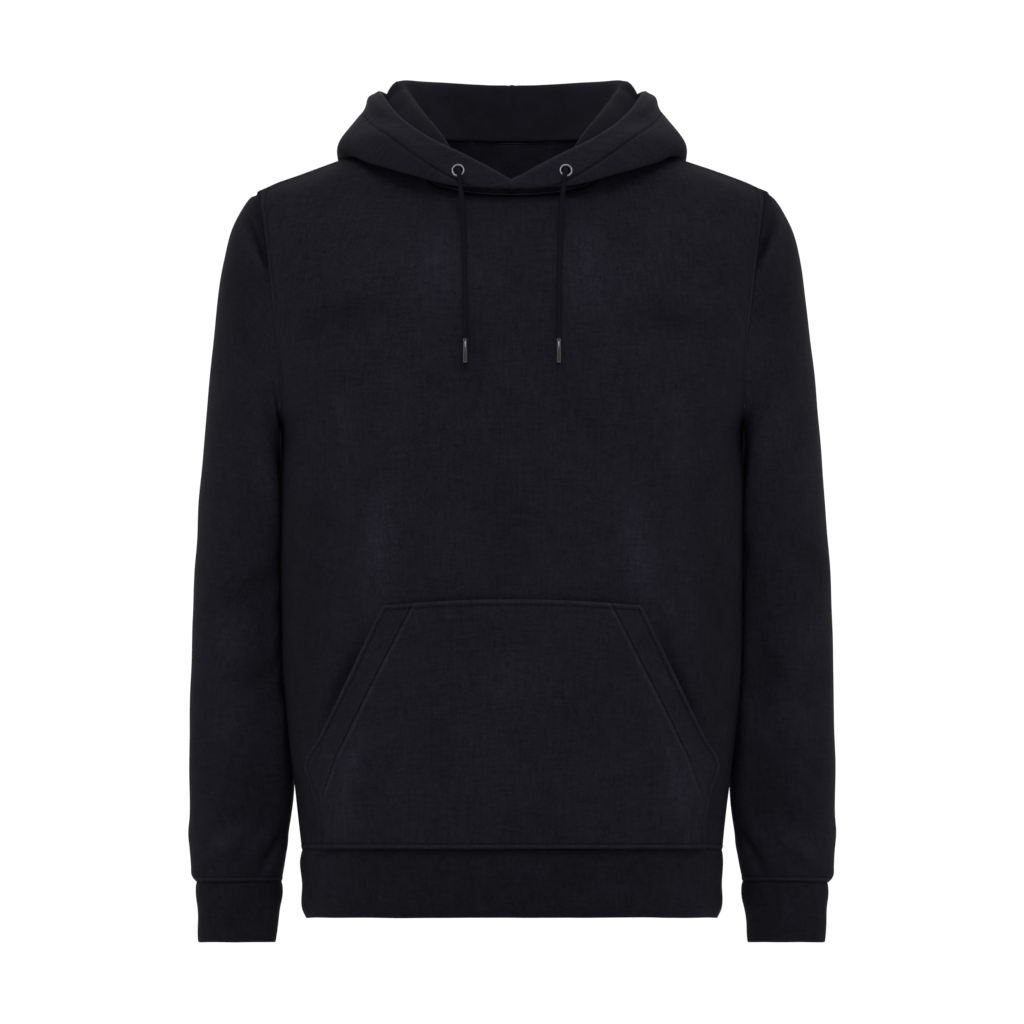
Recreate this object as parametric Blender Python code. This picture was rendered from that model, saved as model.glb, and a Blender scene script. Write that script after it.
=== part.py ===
"""Pullover hoodie in brushed knit fleece, filled out as worn, with the hood down.

Every cloth piece is a thin wall with the garment's own hollow form. Metres, +Z up.
The front faces -Y. Left and right are the wearer's, so the left sleeve is at +X.
The origin is in the middle of the neck opening, at the height where the garment is held.
"""

import math

import bmesh
import bpy
from mathutils import Matrix, Vector

MM = 0.001

# ---------------------------------------------------------------- cloth and seams
SHELL = 2.2 * MM            # thickness of the brushed fleece
BAND = 3.0 * MM             # folded hem band and cuffs
SEAM_GAP = 0.3 * MM         # clear gap between two pieces that are sewn together
REST_GAP = 2.0 * MM         # clear gap between a sleeve and the body it hangs against

# ---------------------------------------------------------------- body heights and widths
UNDERARM_Z = -240 * MM
HEM_SEAM_Z = -634 * MM
SIDE_Y = 4 * MM             # side seam and shoulder seam lie just behind the middle
SHOULDER_X = 232 * MM
SHOULDER_Z = -28.5 * MM
NECK_HALF_WIDTH = 92 * MM
NECK_SIDE_Z = 20 * MM
NECK_FRONT_DROP = 52.5 * MM
NECK_BACK_DROP = 3.4 * MM
NECK_FRONT_BOW = 0.44       # under 1 the front neckline drops fast beside the shoulder seam
NECK_RISE = 60 * MM         # the form would close over the neck this far above its side
ARMHOLE_REACH = {"front": 60 * MM, "back": 64 * MM}
FLATNESS = 2.7              # 2 is an ellipse; more gives a flatter chest and back
FACE_SIGN = {"front": -1, "back": 1}
NECK_FULLNESS = {"front": 4, "back": 8}     # more keeps a panel upright for longer up to the top
SHOULDER_FULLNESS = 3
SHOULDER_ROUNDNESS = 1.9    # 2 is an ellipse over the shoulder
LOWER_ROWS = 7
YOKE_ROWS = 8
NECK_TURNS = (0, 25, 50, 70, 90)                        # columns under the neckline, in degrees
BODY_COLUMNS = (0.48, 0.58, 0.68, 0.78, 0.87, 0.94, 0.983, 1.0)     # share of the half width

# Body sections, in millimetres: height, half width, depth before and behind the side seam.
BODY = {
    "height": (-640, -606, -577, -524, -469, -386, -331, -270, -214, -184, -153, -122, -91, -61, -28, 20),
    "half_width": (193.4, 194.5, 199.6, 206.5, 210.7, 212.2, 213, 213, 213, 214, 217, 221, 224.5, 228, 232,
                   236),
    "front": (121, 127, 131, 134, 136, 137, 137, 137, 136, 135, 132, 128, 122, 115, 106, 92),
    "back": (108, 113, 117, 121, 124, 127, 129, 130, 131, 131, 130, 127, 121, 112, 99, 74),
}

# ---------------------------------------------------------------- sleeves
RING = 16                   # points round a sleeve, two for each row of the armhole
# Sleeve sections from the shoulder to the cuff seam, in millimetres. Each is an oval through an
# outer and an inner point, with its half depth and its middle from front to back.
SLEEVE = {
    "outer_x": (243, 257, 265.5, 271, 276, 281, 285, 288.5, 292, 294.5, 296, 297, 297, 296.5, 295.8, 295.2,
                291.6),
    "outer_z": (-38, -62, -95, -135, -180, -226, -275, -325, -375, -425, -478, -530, -580, -622, -650, -658.5,
                -663.6),
    "inner_x": (214, 213, 211, 208, 205, 201, 198, 196, 195, 195, 196, 198, 200.5, 204.7, 209, 210.6, 211.4),
    "inner_z": (-254, -268, -285, -304, -325, -349, -377, -408, -441, -476, -512, -549, -586, -622, -650,
                -658.5, -663.6),
    "half_depth": (59, 60, 61, 62, 62.5, 62, 61, 59.5, 58, 56, 53, 50, 47, 44.5, 42, 41, 38),
    "middle_y": (13, 20, 25, 29, 33, 37, 40, 42, 43, 42, 39, 35, 30, 26, 23, 22.3, 22),
}
# Cuff sections, in millimetres.
CUFF = {
    "height": (-664, -668, -690, -712, -718.5),
    "middle_x": (251, 250.9, 251.7, 252.4, 252.6),
    "half_width": (39.2, 39.9, 38, 36.2, 35.4),
    "half_depth": (36.4, 37.2, 35.4, 33.6, 32.8),
    "middle_y": (22, 22, 21, 20, 19.8),
}
# Hem band sections, in millimetres: height, and how far each lies in from the body's own edge.
HEM = {
    "height": (-634.3, -640, -665, -690, -696.5),
    "inset": (0.6, -0.4, 0, 1.2, 4.4),
}
HEM_RING = 44

# ---------------------------------------------------------------- pouch pocket
# Pocket outline, in millimetres: height and half width, from the hem seam to the top edge.
POCKET = {
    "height": (-633.2, -612, -590, -574, -558.5, -530, -500, -470, -440, -411.5),
    "half_width": (175.5, 176.4, 179.2, 183.4, 188.6, 175.2, 160.7, 146.3, 131.9, 118.2),
}
POCKET_CORNER_ROW = 4       # row of the outline where each hand opening starts
POCKET_TOP_BOW = 5.5 * MM   # the top edge rises this much at the centre
POCKET_LIFT = 1.9 * MM      # clear gap between the pocket and the front
POCKET_GAPE = 4.5 * MM      # how far the hand openings stand off the front
POCKET_COLUMNS = 16

# ---------------------------------------------------------------- hood
# Lines that run round the lowered hood from the centre front to the centre back, in millimetres,
# on its outer face. Neck and rim are its edges, crest is the top of the standing roll, and fold
# is the lowest line of the hanging part.
HOOD = {
    "turn": (0, 25, 50, 70, 90, 108, 128, 155, 180),    # degrees round the neckline
    "crest": ((0, -96, -30), (40, -88, -20), (60, -67, 13), (77, -37, 36), (90, 5, 52), (98, 38, 64),
              (100, 66, 71), (56, 88, 68.5), (0, 93, 66)),
    "inner": ((0, -98, -30), (47, -94, -22), (79, -70, 2), (100, -37, 19), (114, 8, 29), (121, 52, 34),
              (119, 86, 28), (66, 109, 0), (0, 116, -30)),
    "fold": ((0, -105, -28.5), (50, -100, -24.5), (95, -80, -14), (128, -47, -5), (150, 5, 3),
             (152, 62, -24), (133, 108, -74), (78, 138, -140), (0, 145, -168)),
    "outer": ((0, -106, -24), (49, -101.5, -14), (92, -84, 7), (124, -54, 20), (156, 3, 18),
              (154, 70, 10), (134, 120, -10), (76, 154, -48), (0, 164, -64)),
    "rim": ((0, -101, -18), (42, -95, 2.5), (78, -71, 21), (105, -38, 40), (120.5, 8, 59),
            (122, 62, 62), (106, 108, 56), (60, 138, 48), (0, 147, 45)),
}
HOOD_LINES = ("crest", "inner", "fold", "outer", "rim")
HOOD_STEPS = (("neck", 3), ("crest", 3), ("inner", 3), ("fold", 2), ("outer", 3), ("rim", 0))
NECK_SEAM_IN = 1.9 * MM     # the hood's sewn edge stands in from the neckline's sides
NECK_SEAM_UP = 1.3 * MM     # and up off the neckline
HOOD_TURN_STEPS = 2         # faces between two neighbouring places of the table

# ---------------------------------------------------------------- drawcord and eyelets
EYELET_X = 49.7 * MM
EYELET_Z = -9.7 * MM
EYELET_CUT = 4.7 * MM       # radius of the hole in the cloth
EYELET_CUT_REACH = 9 * MM
EYELET_CLEAR = 0.9 * MM     # under the flanges, which reach over slightly bent cloth
# Eyelet section, in millimetres: radius, and height over its front seat or under its back one.
EYELET_FRONT = ((4.1, 0), (6.1, 0), (6.1, 0.5), (5.2, 1.2), (3.7, 1.2), (3.3, 0.8))
EYELET_BACK = ((3.3, -0.5), (5.0, -0.5), (5.0, 0), (4.1, 0))
TURNED_SEGMENTS = 24
CORD_RADIUS = 2.3 * MM
CORD_CLEAR = 1.2 * MM       # between a hanging cord and the front
CORD_STEPS = 3              # straight lengths between two places of the route
# Cord places out of the eyelet and over its lower edge, in millimetres from the eyelet's centre.
CORD_START = {
    "x": (-0.1, -0.2, -0.6, -1.1, -1.6),
    "y": (1.0, -1.8, -5.6, -7.5, -7.6),
    "z": (0.4, 0.6, -0.6, -4.0, -8.6),
}
# Cord places down the front, in millimetres: height, and distance from the centre line.
CORD_HANG = {
    "height": (-26, -35, -48, -65, -85, -105, -125, -145, -165),
    "distance": (47.4, 46.2, 45.2, 44.4, 43.9, 43.5, 43.2, 43.1, 43.1),
}
TIP_LENGTH = 22 * MM
TIP_RADIUS = 2.5 * MM
TIP_EDGE = 0.5 * MM         # bevel at the tip's upper edge; the lower one's is twice that
SHARP_ANGLE = 35            # degrees

COLOURS = {
    "fleece": (0.0100, 0.0095, 0.0130, 1.0),
    "cord": (0.0085, 0.0080, 0.0110, 1.0),
    "gunmetal": (0.22, 0.22, 0.24, 1.0),
}
SIDES = {"left": 1, "right": -1}


# ================================================================ interpolation
def hermite(before, start, end, after, t):
    """Catmull-Rom blend of four numbers or vectors with even spacing."""
    slope_in = (end - before) * 0.5
    slope_out = (after - start) * 0.5
    a, b = t * t * t, t * t
    return (start * (2 * a - 3 * b + 1) + slope_in * (a - 2 * b + t)
            + end * (3 * b - 2 * a) + slope_out * (a - b))


def along(points, position, mirrored_ends=False):
    """Point at a fractional position on a smooth line through the given points.

    With mirrored ends the line runs square into the garment's middle plane at both ends.
    """
    last = len(points) - 1
    index = min(int(position), last - 1)
    if mirrored_ends:
        before_first, after_last = points[1] * 1, points[last - 1] * 1
        before_first.x, after_last.x = -before_first.x, -after_last.x
    else:
        before_first, after_last = points[0] * 2 - points[1], points[last] * 2 - points[last - 1]
    before = points[index - 1] if index > 0 else before_first
    after = points[index + 2] if index + 2 <= last else after_last
    return hermite(before, points[index], points[index + 1], after, position - index)


def table_value(table, column, height):
    """Value of a column at a height in metres, with a smooth line through the rows."""
    heights = table["height"]
    values = table[column]
    height = height / MM
    height = min(max(height, heights[0]), heights[-1])
    index = next(i for i in range(len(heights) - 1) if height <= heights[i + 1])
    span = heights[index + 1] - heights[index]
    slopes = []
    for i in (index, index + 1):
        low, high = max(i - 1, 0), min(i + 1, len(heights) - 1)
        slopes.append((values[high] - values[low]) / (heights[high] - heights[low]) * span)
    t = (height - heights[index]) / span
    a, b = t * t * t, t * t
    return MM * (values[index] * (2 * a - 3 * b + 1) + slopes[0] * (a - 2 * b + t)
                 + values[index + 1] * (3 * b - 2 * a) + slopes[1] * (a - b))


def smoothstep(low, high, value):
    t = min(max((value - low) / (high - low), 0.0), 1.0)
    return t * t * (3 - 2 * t)


# ================================================================ body form
def form_top(x):
    """Height where the form closes: the shoulder seam, and its smooth rise over the neck."""
    slope = (NECK_SIDE_Z - SHOULDER_Z) / (SHOULDER_X - NECK_HALF_WIDTH)
    if x >= NECK_HALF_WIDTH:
        return NECK_SIDE_Z - slope * (x - NECK_HALF_WIDTH)
    inward = 1 - x / NECK_HALF_WIDTH
    steep = slope * NECK_HALF_WIDTH
    return (NECK_SIDE_Z + steep * inward + (3 * NECK_RISE - 2 * steep) * inward ** 2
            + (steep - 2 * NECK_RISE) * inward ** 3)


def top_edge(face, x):
    """Height of a panel's top edge: its neckline, then its shoulder seam."""
    if x >= NECK_HALF_WIDTH:
        return form_top(x)
    level = math.sqrt(1 - (x / NECK_HALF_WIDTH) ** 2)
    if face == "front":
        return NECK_SIDE_Z - NECK_FRONT_DROP * level ** NECK_FRONT_BOW
    return NECK_SIDE_Z - NECK_BACK_DROP * level


def crown(fraction):
    """How full a section is at a fraction of its half width, from 1 at the centre to 0."""
    return math.sqrt(max(1 - abs(fraction) ** FLATNESS, 0.0))


def column_places():
    """Each column's fraction of the half width, from the centre to the side."""
    neck = [NECK_HALF_WIDTH / SHOULDER_X * math.sin(math.radians(turn)) for turn in NECK_TURNS]
    return neck + list(BODY_COLUMNS)


def lower_point(face, place, height):
    """Point of the body below the arms, at a fraction of the half width from 0 to 1."""
    reach = table_value(BODY, face, height) * crown(place) + SEAM_GAP / 2
    x = table_value(BODY, "half_width", height) * place
    return Vector((x, SIDE_Y + FACE_SIGN[face] * reach, height))


def yoke_point(face, place, rise):
    """Point of the body above the underarm. rise runs from 0 there to 1 at the shoulder."""
    share = (1 - math.cos(math.pi * rise)) / 2
    edge_z = UNDERARM_Z + (SHOULDER_Z - UNDERARM_Z) * share
    half_width = table_value(BODY, "half_width", edge_z)
    half_width += (SHOULDER_X - half_width) * smoothstep(0.8, 1.0, share)
    z = UNDERARM_Z + (top_edge(face, SHOULDER_X * place) - UNDERARM_Z) * share
    edge = ARMHOLE_REACH[face] * math.sin(math.pi * rise)
    full = table_value(BODY, face, z) * crown(place) + edge * (1 - crown(place)) * place ** 3
    risen = min((z - UNDERARM_Z) / (form_top(SHOULDER_X * place) - UNDERARM_Z), 1.0)
    fullness = NECK_FULLNESS[face] + (SHOULDER_FULLNESS - NECK_FULLNESS[face]) * smoothstep(0.1, 0.6, place)
    reach = full * (1 - risen ** fullness) ** (1 / SHOULDER_ROUNDNESS) + SEAM_GAP / 2
    return Vector((half_width * place, SIDE_Y + FACE_SIGN[face] * reach, z))


def lower_height(row):
    """Height of a row of the panels below the arms."""
    return HEM_SEAM_Z + (UNDERARM_Z - HEM_SEAM_Z) * row / LOWER_ROWS


def front_depth(x, height):
    """Y of the front panel's flat faces at a place below the arms."""
    position = (height - HEM_SEAM_Z) / (UNDERARM_Z - HEM_SEAM_Z) * LOWER_ROWS
    low = min(max(int(position), 0), LOWER_ROWS - 1)
    up = position - low
    places = column_places()
    line = [lower_point("front", place, lower_height(low)).lerp(
            lower_point("front", place, lower_height(low + 1)), up) for place in places]
    for near, far in zip(line, line[1:]):
        if abs(x) <= far.x:
            return near.y + (far.y - near.y) * (abs(x) - near.x) / (far.x - near.x)
    return line[-1].y


def body_side(y, height):
    """X of the body's side at a depth and height, for what hangs against it."""
    face = "front" if y < SIDE_Y else "back"
    fraction = min(abs(y - SIDE_Y) / table_value(BODY, face, height), 1.0)
    return table_value(BODY, "half_width", height) * (1 - fraction ** 2) ** (1 / FLATNESS)


# ================================================================ mesh helpers
def material(name, roughness, metallic=0.0):
    made = bpy.data.materials.new(name)
    made.use_nodes = True
    shader = made.node_tree.nodes["Principled BSDF"]
    shader.inputs["Base Color"].default_value = COLOURS[name]
    shader.inputs["Roughness"].default_value = roughness
    shader.inputs["Metallic"].default_value = metallic
    made.diffuse_color = COLOURS[name]
    return made


def add_object(name, mesh, finish):
    mesh.materials.append(finish)
    made = bpy.data.objects.new(name, mesh)
    bpy.context.scene.collection.objects.link(made)
    return made


def cloth(name, rows, finish, thickness, closed=False, edge_normal=None):
    """Cloth wall whose outer face is a grid of points, with its thickness on the inside.

    A closed grid joins each row's end to its start. edge_normal gives the direction of the
    thickness at a seam, so that the wall's cut edge stays in the plane of the seam.
    """
    across = len(rows[0])
    shape = bmesh.new()
    outer = [[shape.verts.new(point) for point in row] for row in rows]
    for low, high in zip(outer, outer[1:]):
        for i in range(across if closed else across - 1):
            j = (i + 1) % across
            shape.faces.new((low[i], low[j], high[j], high[i]))
    shape.normal_update()
    inner = []
    for r, row in enumerate(outer):
        line = []
        for c, vert in enumerate(row):
            normal = vert.normal
            if edge_normal:
                normal = edge_normal(vert.co, normal, r, c)
            line.append(shape.verts.new(vert.co - normal * thickness))
        inner.append(line)
    for low, high in zip(inner, inner[1:]):
        for i in range(across if closed else across - 1):
            j = (i + 1) % across
            shape.faces.new((low[i], high[i], high[j], low[j]))
    for i in range(across if closed else across - 1):
        j = (i + 1) % across
        shape.faces.new((outer[0][j], outer[0][i], inner[0][i], inner[0][j]))
        shape.faces.new((outer[-1][i], outer[-1][j], inner[-1][j], inner[-1][i]))
    if not closed:
        for r in range(len(rows) - 1):
            shape.faces.new((outer[r][0], outer[r + 1][0], inner[r + 1][0], inner[r][0]))
            shape.faces.new((outer[r + 1][-1], outer[r][-1], inner[r][-1], inner[r + 1][-1]))
    mesh = bpy.data.meshes.new(name)
    shape.to_mesh(mesh)
    shape.free()
    mesh.shade_smooth()
    return add_object(name, mesh, finish)


def level_edge(last_row):
    """Keeps a tube's two end faces level."""
    def edge_normal(point, normal, row, column):
        if row in (0, last_row):
            return Vector((normal.x, normal.y, 0)).normalized()
        return normal
    return edge_normal


def armhole_inward(point):
    """Direction from a point of the armhole to its middle, in the plane of the armhole."""
    return Vector((0, SIDE_Y - point.y, (SHOULDER_Z + UNDERARM_Z) / 2 - point.z)).normalized()


def mirrored(rows, side):
    """Rows for one side of the garment. The right side is mirrored and keeps its faces outward."""
    if side == 1:
        return rows
    return [[Vector((-point.x, point.y, point.z)) for point in reversed(row)] for row in rows]


# ================================================================ pieces
def body_panel(face, finish):
    """Front or back, from the hem seam to the neckline, armholes and shoulder seams."""
    places = column_places()
    rows = []
    for i in range(LOWER_ROWS):
        rows.append([lower_point(face, place, lower_height(i)) for place in places])
    for i in range(YOKE_ROWS + 1):
        rows.append([yoke_point(face, place, i / YOKE_ROWS) for place in places])
    full = []
    for row in rows:
        other = [Vector((-point.x, point.y, point.z)) for point in reversed(row[1:])]
        full.append(other + row)
    if face == "back":
        full = [list(reversed(row)) for row in full]
    last_column, last_row = len(full[0]) - 1, len(full) - 1
    neck = len(NECK_TURNS) - 1

    def edge_normal(point, normal, row, column):
        """Side, armhole and shoulder edges are cut square to the cloth along their seams."""
        if row == last_row and abs(column - last_column // 2) >= neck:
            return Vector((normal.x, 0, normal.z)).normalized()
        if column in (0, last_column):
            across_seam = armhole_inward(point) if row > LOWER_ROWS else Vector((0, 1, 0))
            return (normal - across_seam * normal.dot(across_seam)).normalized()
        if row == 0:
            return Vector((normal.x, normal.y, 0)).normalized()
        return normal

    cloth("body_" + face, full, finish, SHELL, edge_normal=edge_normal)


def sleeve_ring(index):
    """Oval of the sleeve's outer face, pushed clear of the body's side."""
    row = {column: values[index] * MM for column, values in SLEEVE.items()}
    outer = Vector((row["outer_x"], row["middle_y"], row["outer_z"]))
    inner = Vector((row["inner_x"], row["middle_y"], row["inner_z"]))
    middle, half = (outer + inner) / 2, (outer - inner) / 2
    points = []
    for i in range(RING):
        turn = 2 * math.pi * i / RING
        point = middle + half * math.cos(turn) + Vector((0, -row["half_depth"] * math.sin(turn), 0))
        if point.z < UNDERARM_Z:
            gap = REST_GAP * smoothstep(-40 * MM, 70 * MM, UNDERARM_Z - point.z)
            point.x = max(point.x, body_side(point.y, point.z) + gap)
        points.append(point)
    return points


def armhole_ring():
    """The sleeve's seam edge, just inside the body's armhole."""
    half = RING // 2
    front = [yoke_point("front", 1.0, 1 - i / half) for i in range(half)]
    back = [yoke_point("back", 1.0, i / half) for i in range(half)]
    return [point + armhole_inward(point) * SEAM_GAP * 1.5 + Vector((SEAM_GAP, 0, 0))
            for point in front + back]


def sleeve(name, side, finish):
    rings = [armhole_ring()] + [sleeve_ring(i) for i in range(len(SLEEVE["outer_x"]))]
    rows = [list(reversed(ring)) for ring in reversed(rings)]
    last_row = len(rows) - 1

    def edge_normal(point, normal, row, column):
        """The armhole edge faces the body's, and the cuff edge is level."""
        if row == last_row:
            return -armhole_inward(point)
        if row == 0:
            return Vector((normal.x, normal.y, 0)).normalized()
        return normal

    cloth(name, mirrored(rows, side), finish, SHELL, closed=True, edge_normal=edge_normal)


def cuff(name, side, finish):
    rows = []
    for i in range(len(CUFF["height"])):
        row = {column: values[i] * MM for column, values in CUFF.items()}
        ring = []
        for j in range(RING):
            turn = 2 * math.pi * j / RING
            ring.append(Vector((row["middle_x"] + row["half_width"] * math.cos(turn),
                                row["middle_y"] + row["half_depth"] * math.sin(turn),
                                row["height"])))
        rows.append(ring)
    cloth(name, mirrored(list(reversed(rows)), side), finish, BAND, closed=True,
          edge_normal=level_edge(len(rows) - 1))


def hem_band(finish):
    """Band round the bottom, on the body's own section."""
    rows = []
    for height, inset in zip(HEM["height"], HEM["inset"]):
        ring = []
        for i in range(HEM_RING):
            turn = 2 * math.pi * i / HEM_RING
            face = "front" if math.sin(turn) < 0 else "back"
            half_width = table_value(BODY, "half_width", HEM_SEAM_Z) - inset * MM
            reach = table_value(BODY, face, HEM_SEAM_Z) - inset * MM
            x = half_width * math.cos(turn)
            y = SIDE_Y + FACE_SIGN[face] * reach * crown(math.cos(turn))
            ring.append(Vector((x, y, height * MM)))
        rows.append(ring)
    cloth("hem_band", list(reversed(rows)), finish, BAND, closed=True,
          edge_normal=level_edge(len(rows) - 1))


def lifted(x, z, lift):
    """Point at a place across and up that stands off the front's face by a clear distance."""
    step = 2 * MM
    base = x
    for _ in range(3):
        slope_x = (front_depth(base + step, z) - front_depth(base - step, z)) / (2 * step)
        slope_z = (front_depth(base, z + step) - front_depth(base, z - step)) / (2 * step)
        outward = Vector((slope_x, -1, slope_z)).normalized()
        base = x - outward.x * lift
    return Vector((base, front_depth(base, z), z)) + outward * lift


def pocket(finish):
    """Pouch pocket, made from the front's own face moved out."""
    rows = []
    lowest, top = POCKET["height"][0] * MM, POCKET["height"][-1] * MM
    corner = POCKET["height"][POCKET_CORNER_ROW] * MM
    for height, half_width in zip(POCKET["height"], POCKET["half_width"]):
        row = []
        for i in range(POCKET_COLUMNS + 1):
            across = math.sin(math.pi * (i / POCKET_COLUMNS - 0.5))
            x = half_width * MM * across
            rise = (height * MM - lowest) / (top - lowest)
            z = height * MM + POCKET_TOP_BOW * (1 - across ** 2) * rise ** 3
            opening = math.sin(math.pi * smoothstep(corner, top, height * MM))
            lift = POCKET_LIFT + SHELL + POCKET_GAPE * abs(across) ** 5 * opening
            row.append(lifted(x, z, lift))
        rows.append(row)
    cloth("pocket", rows, finish, SHELL)


def neck_point(turn):
    """The hood's sewn edge, just over the neckline at an angle round the neck."""
    face = "front" if turn < 90 else "back"
    side = math.sin(math.radians(turn))
    edge = yoke_point(face, NECK_HALF_WIDTH * side / SHOULDER_X, 1.0)
    return edge + Vector((-NECK_SEAM_IN * side, 0, NECK_SEAM_UP))


def hood_rows():
    """Rows of the left hood piece's outer face, one for each place round the neck."""
    turns = HOOD["turn"]
    lines = {name: [Vector(point) * MM for point in HOOD[name]] for name in HOOD_LINES}
    rows = []
    for step in range((len(turns) - 1) * HOOD_TURN_STEPS + 1):
        position = step / HOOD_TURN_STEPS
        index = min(int(position), len(turns) - 2)
        turn = turns[index] + (turns[index + 1] - turns[index]) * (position - index)
        guides = [neck_point(turn)]
        guides += [along(lines[name], position, mirrored_ends=True) for name in HOOD_LINES]
        row = []
        for i, (_, count) in enumerate(HOOD_STEPS):
            for j in range(count):
                row.append(along(guides, i + j / count))
        row.append(guides[-1])
        rows.append(row)
    return rows


def eyelet_frame(rows):
    """Centre and outward direction of the eyelet on the hood's outer face."""
    target = Vector((EYELET_X, EYELET_Z))
    best = None
    first_outer = sum(count for name, count in HOOD_STEPS if name in ("neck", "crest", "inner"))
    for row, following in zip(rows, rows[1:]):
        for i in range(first_outer, len(row) - 1):
            corners = (row[i], row[i + 1], following[i + 1], following[i])
            middle = sum(corners, Vector()) / 4
            normal = (corners[2] - corners[0]).cross(corners[1] - corners[3]).normalized()
            away = (Vector((middle.x, middle.z)) - target).length
            if middle.y < 0 and (best is None or away < best[0]):
                best = (away, middle, normal)
    _, middle, normal = best
    x, z = EYELET_X - middle.x, EYELET_Z - middle.z
    y = middle.y - (normal.x * x + normal.z * z) / normal.y
    return Vector((EYELET_X, y, EYELET_Z)), normal


def hood(name, side, finish):
    """One half of the hood, with its eyelet hole. Returns the eyelet's centre and direction."""
    rows = hood_rows()
    for point in rows[0] + rows[-1]:
        point.x += SEAM_GAP / 2
    centre, outward = eyelet_frame(rows)
    grid = [list(line) for line in zip(*rows)]
    last_column = len(rows) - 1

    def edge_normal(point, normal, row, column):
        """The centre front and centre back edges are cut in the garment's middle plane."""
        if column in (0, last_column):
            return Vector((0, normal.y, normal.z)).normalized()
        return normal

    made = cloth(name, mirrored(grid, side), finish, SHELL, edge_normal=edge_normal)
    if side == -1:
        centre.x, outward.x = -centre.x, -outward.x
    hole = ((EYELET_CUT, EYELET_CUT_REACH), (EYELET_CUT, -EYELET_CUT_REACH))
    cutter = turned(name + "_eyelet_hole", hole, finish)
    cutter.matrix_world = placed(centre, outward)
    cutter.hide_render = True
    cutter.display_type = "WIRE"
    cut = made.modifiers.new("Eyelet hole", "BOOLEAN")
    cut.operation = "DIFFERENCE"
    cut.object = cutter
    return centre, outward


def placed(centre, axis):
    """Place of a turned piece, with its own Z axis along a direction."""
    return Matrix.Translation(centre) @ axis.to_track_quat("Z", "Y").to_matrix().to_4x4()


def turned(name, outline, finish, closed=False):
    """Round piece about its own Z axis, from (radius, height) points. An open outline is capped."""
    segments = TURNED_SEGMENTS
    shape = bmesh.new()
    rings = []
    for radius, height in outline:
        rings.append([shape.verts.new((radius * math.cos(2 * math.pi * i / segments),
                                       radius * math.sin(2 * math.pi * i / segments), height))
                      for i in range(segments)])
    pairs = list(zip(rings, rings[1:]))
    if closed:
        pairs.append((rings[-1], rings[0]))
    for upper, lower in pairs:
        for i in range(segments):
            j = (i + 1) % segments
            shape.faces.new((upper[i], lower[i], lower[j], upper[j]))
    if not closed:
        shape.faces.new(rings[0])
        shape.faces.new(list(reversed(rings[-1])))
    mesh = bpy.data.meshes.new(name)
    shape.to_mesh(mesh)
    shape.free()
    mesh.shade_smooth()
    mesh.set_sharp_from_angle(angle=math.radians(SHARP_ANGLE))
    return add_object(name, mesh, finish)


def eyelet(name, centre, outward, finish):
    """Turned ring with a rolled front flange, a barrel through the cloth and a back washer."""
    front, back = EYELET_CLEAR, -(SHELL + EYELET_CLEAR)
    outline = [(radius * MM, front + height * MM) for radius, height in EYELET_FRONT]
    outline += [(radius * MM, back + height * MM) for radius, height in EYELET_BACK]
    outline.reverse()
    made = turned(name, outline, finish, closed=True)
    made.matrix_world = placed(centre, outward)


def cord_route(side, centre):
    """Hand-placed line of a free cord end: out of its eyelet, over the lower flange, then down."""
    sign = SIDES[side]
    start = Vector((abs(centre.x), centre.y, centre.z))
    points = [start + Vector(place) * MM for place in zip(*CORD_START.values())]
    foremost = points[-1].y
    for height, distance in zip(CORD_HANG["height"], CORD_HANG["distance"]):
        on_cloth = front_surface(distance * MM, height * MM) - CORD_RADIUS - CORD_CLEAR
        points.append(Vector((distance * MM, min(on_cloth, foremost), height * MM)))
    for point in points:
        point.x *= sign
    return points


def front_surface(x, z):
    """Y of the front's outer face in the yoke, found by searching up a column."""
    best = None
    place = x / SHOULDER_X
    for i in range(81):
        point = yoke_point("front", place, i / 80)
        if best is None or abs(point.z - z) < abs(best.z - z):
            best = point
    return best.y


def cord(name, route, finish):
    """Round cord as a tube on a smooth line through its route."""
    points = [along(route, i / CORD_STEPS) for i in range((len(route) - 1) * CORD_STEPS + 1)]
    curve = bpy.data.curves.new(name, "CURVE")
    curve.dimensions = "3D"
    curve.bevel_depth = CORD_RADIUS
    curve.bevel_resolution = 2
    curve.use_fill_caps = True
    line = curve.splines.new("POLY")
    line.points.add(len(points) - 1)
    for place, point in zip(line.points, points):
        place.co = (*point, 1.0)
    curve.materials.append(finish)
    made = bpy.data.objects.new(name, curve)
    bpy.context.scene.collection.objects.link(made)


def tip(name, route, finish):
    """Metal tip crimped on the cord's end, in line with the cord."""
    top = -SEAM_GAP
    bottom = top - TIP_LENGTH
    outline = ((TIP_RADIUS - TIP_EDGE, top), (TIP_RADIUS, top - TIP_EDGE),
               (TIP_RADIUS, bottom + 2 * TIP_EDGE), (TIP_RADIUS - 2 * TIP_EDGE, bottom))
    made = turned(name, outline, finish)
    upward = (route[-2] - route[-1]).normalized()
    made.matrix_world = placed(route[-1], upward)


def main():
    for old in list(bpy.data.objects):
        bpy.data.objects.remove(old, do_unlink=True)
    fleece = material("fleece", 0.95)
    drawcord = material("cord", 0.85)
    metal = material("gunmetal", 0.32, 1.0)

    body_panel("front", fleece)
    body_panel("back", fleece)
    hem_band(fleece)
    pocket(fleece)
    for side, sign in SIDES.items():
        sleeve("sleeve_" + side, sign, fleece)
        cuff("cuff_" + side, sign, fleece)
        centre, outward = hood("hood_" + side, sign, fleece)
        eyelet("eyelet_" + side, centre, outward, metal)
        route = cord_route(side, centre)
        cord("cord_" + side, route, drawcord)
        tip("tip_" + side, route, metal)


main()
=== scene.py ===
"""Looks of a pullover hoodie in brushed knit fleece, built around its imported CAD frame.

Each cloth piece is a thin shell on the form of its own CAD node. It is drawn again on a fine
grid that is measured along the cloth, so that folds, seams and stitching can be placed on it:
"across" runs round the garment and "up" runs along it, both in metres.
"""

import math

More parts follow.
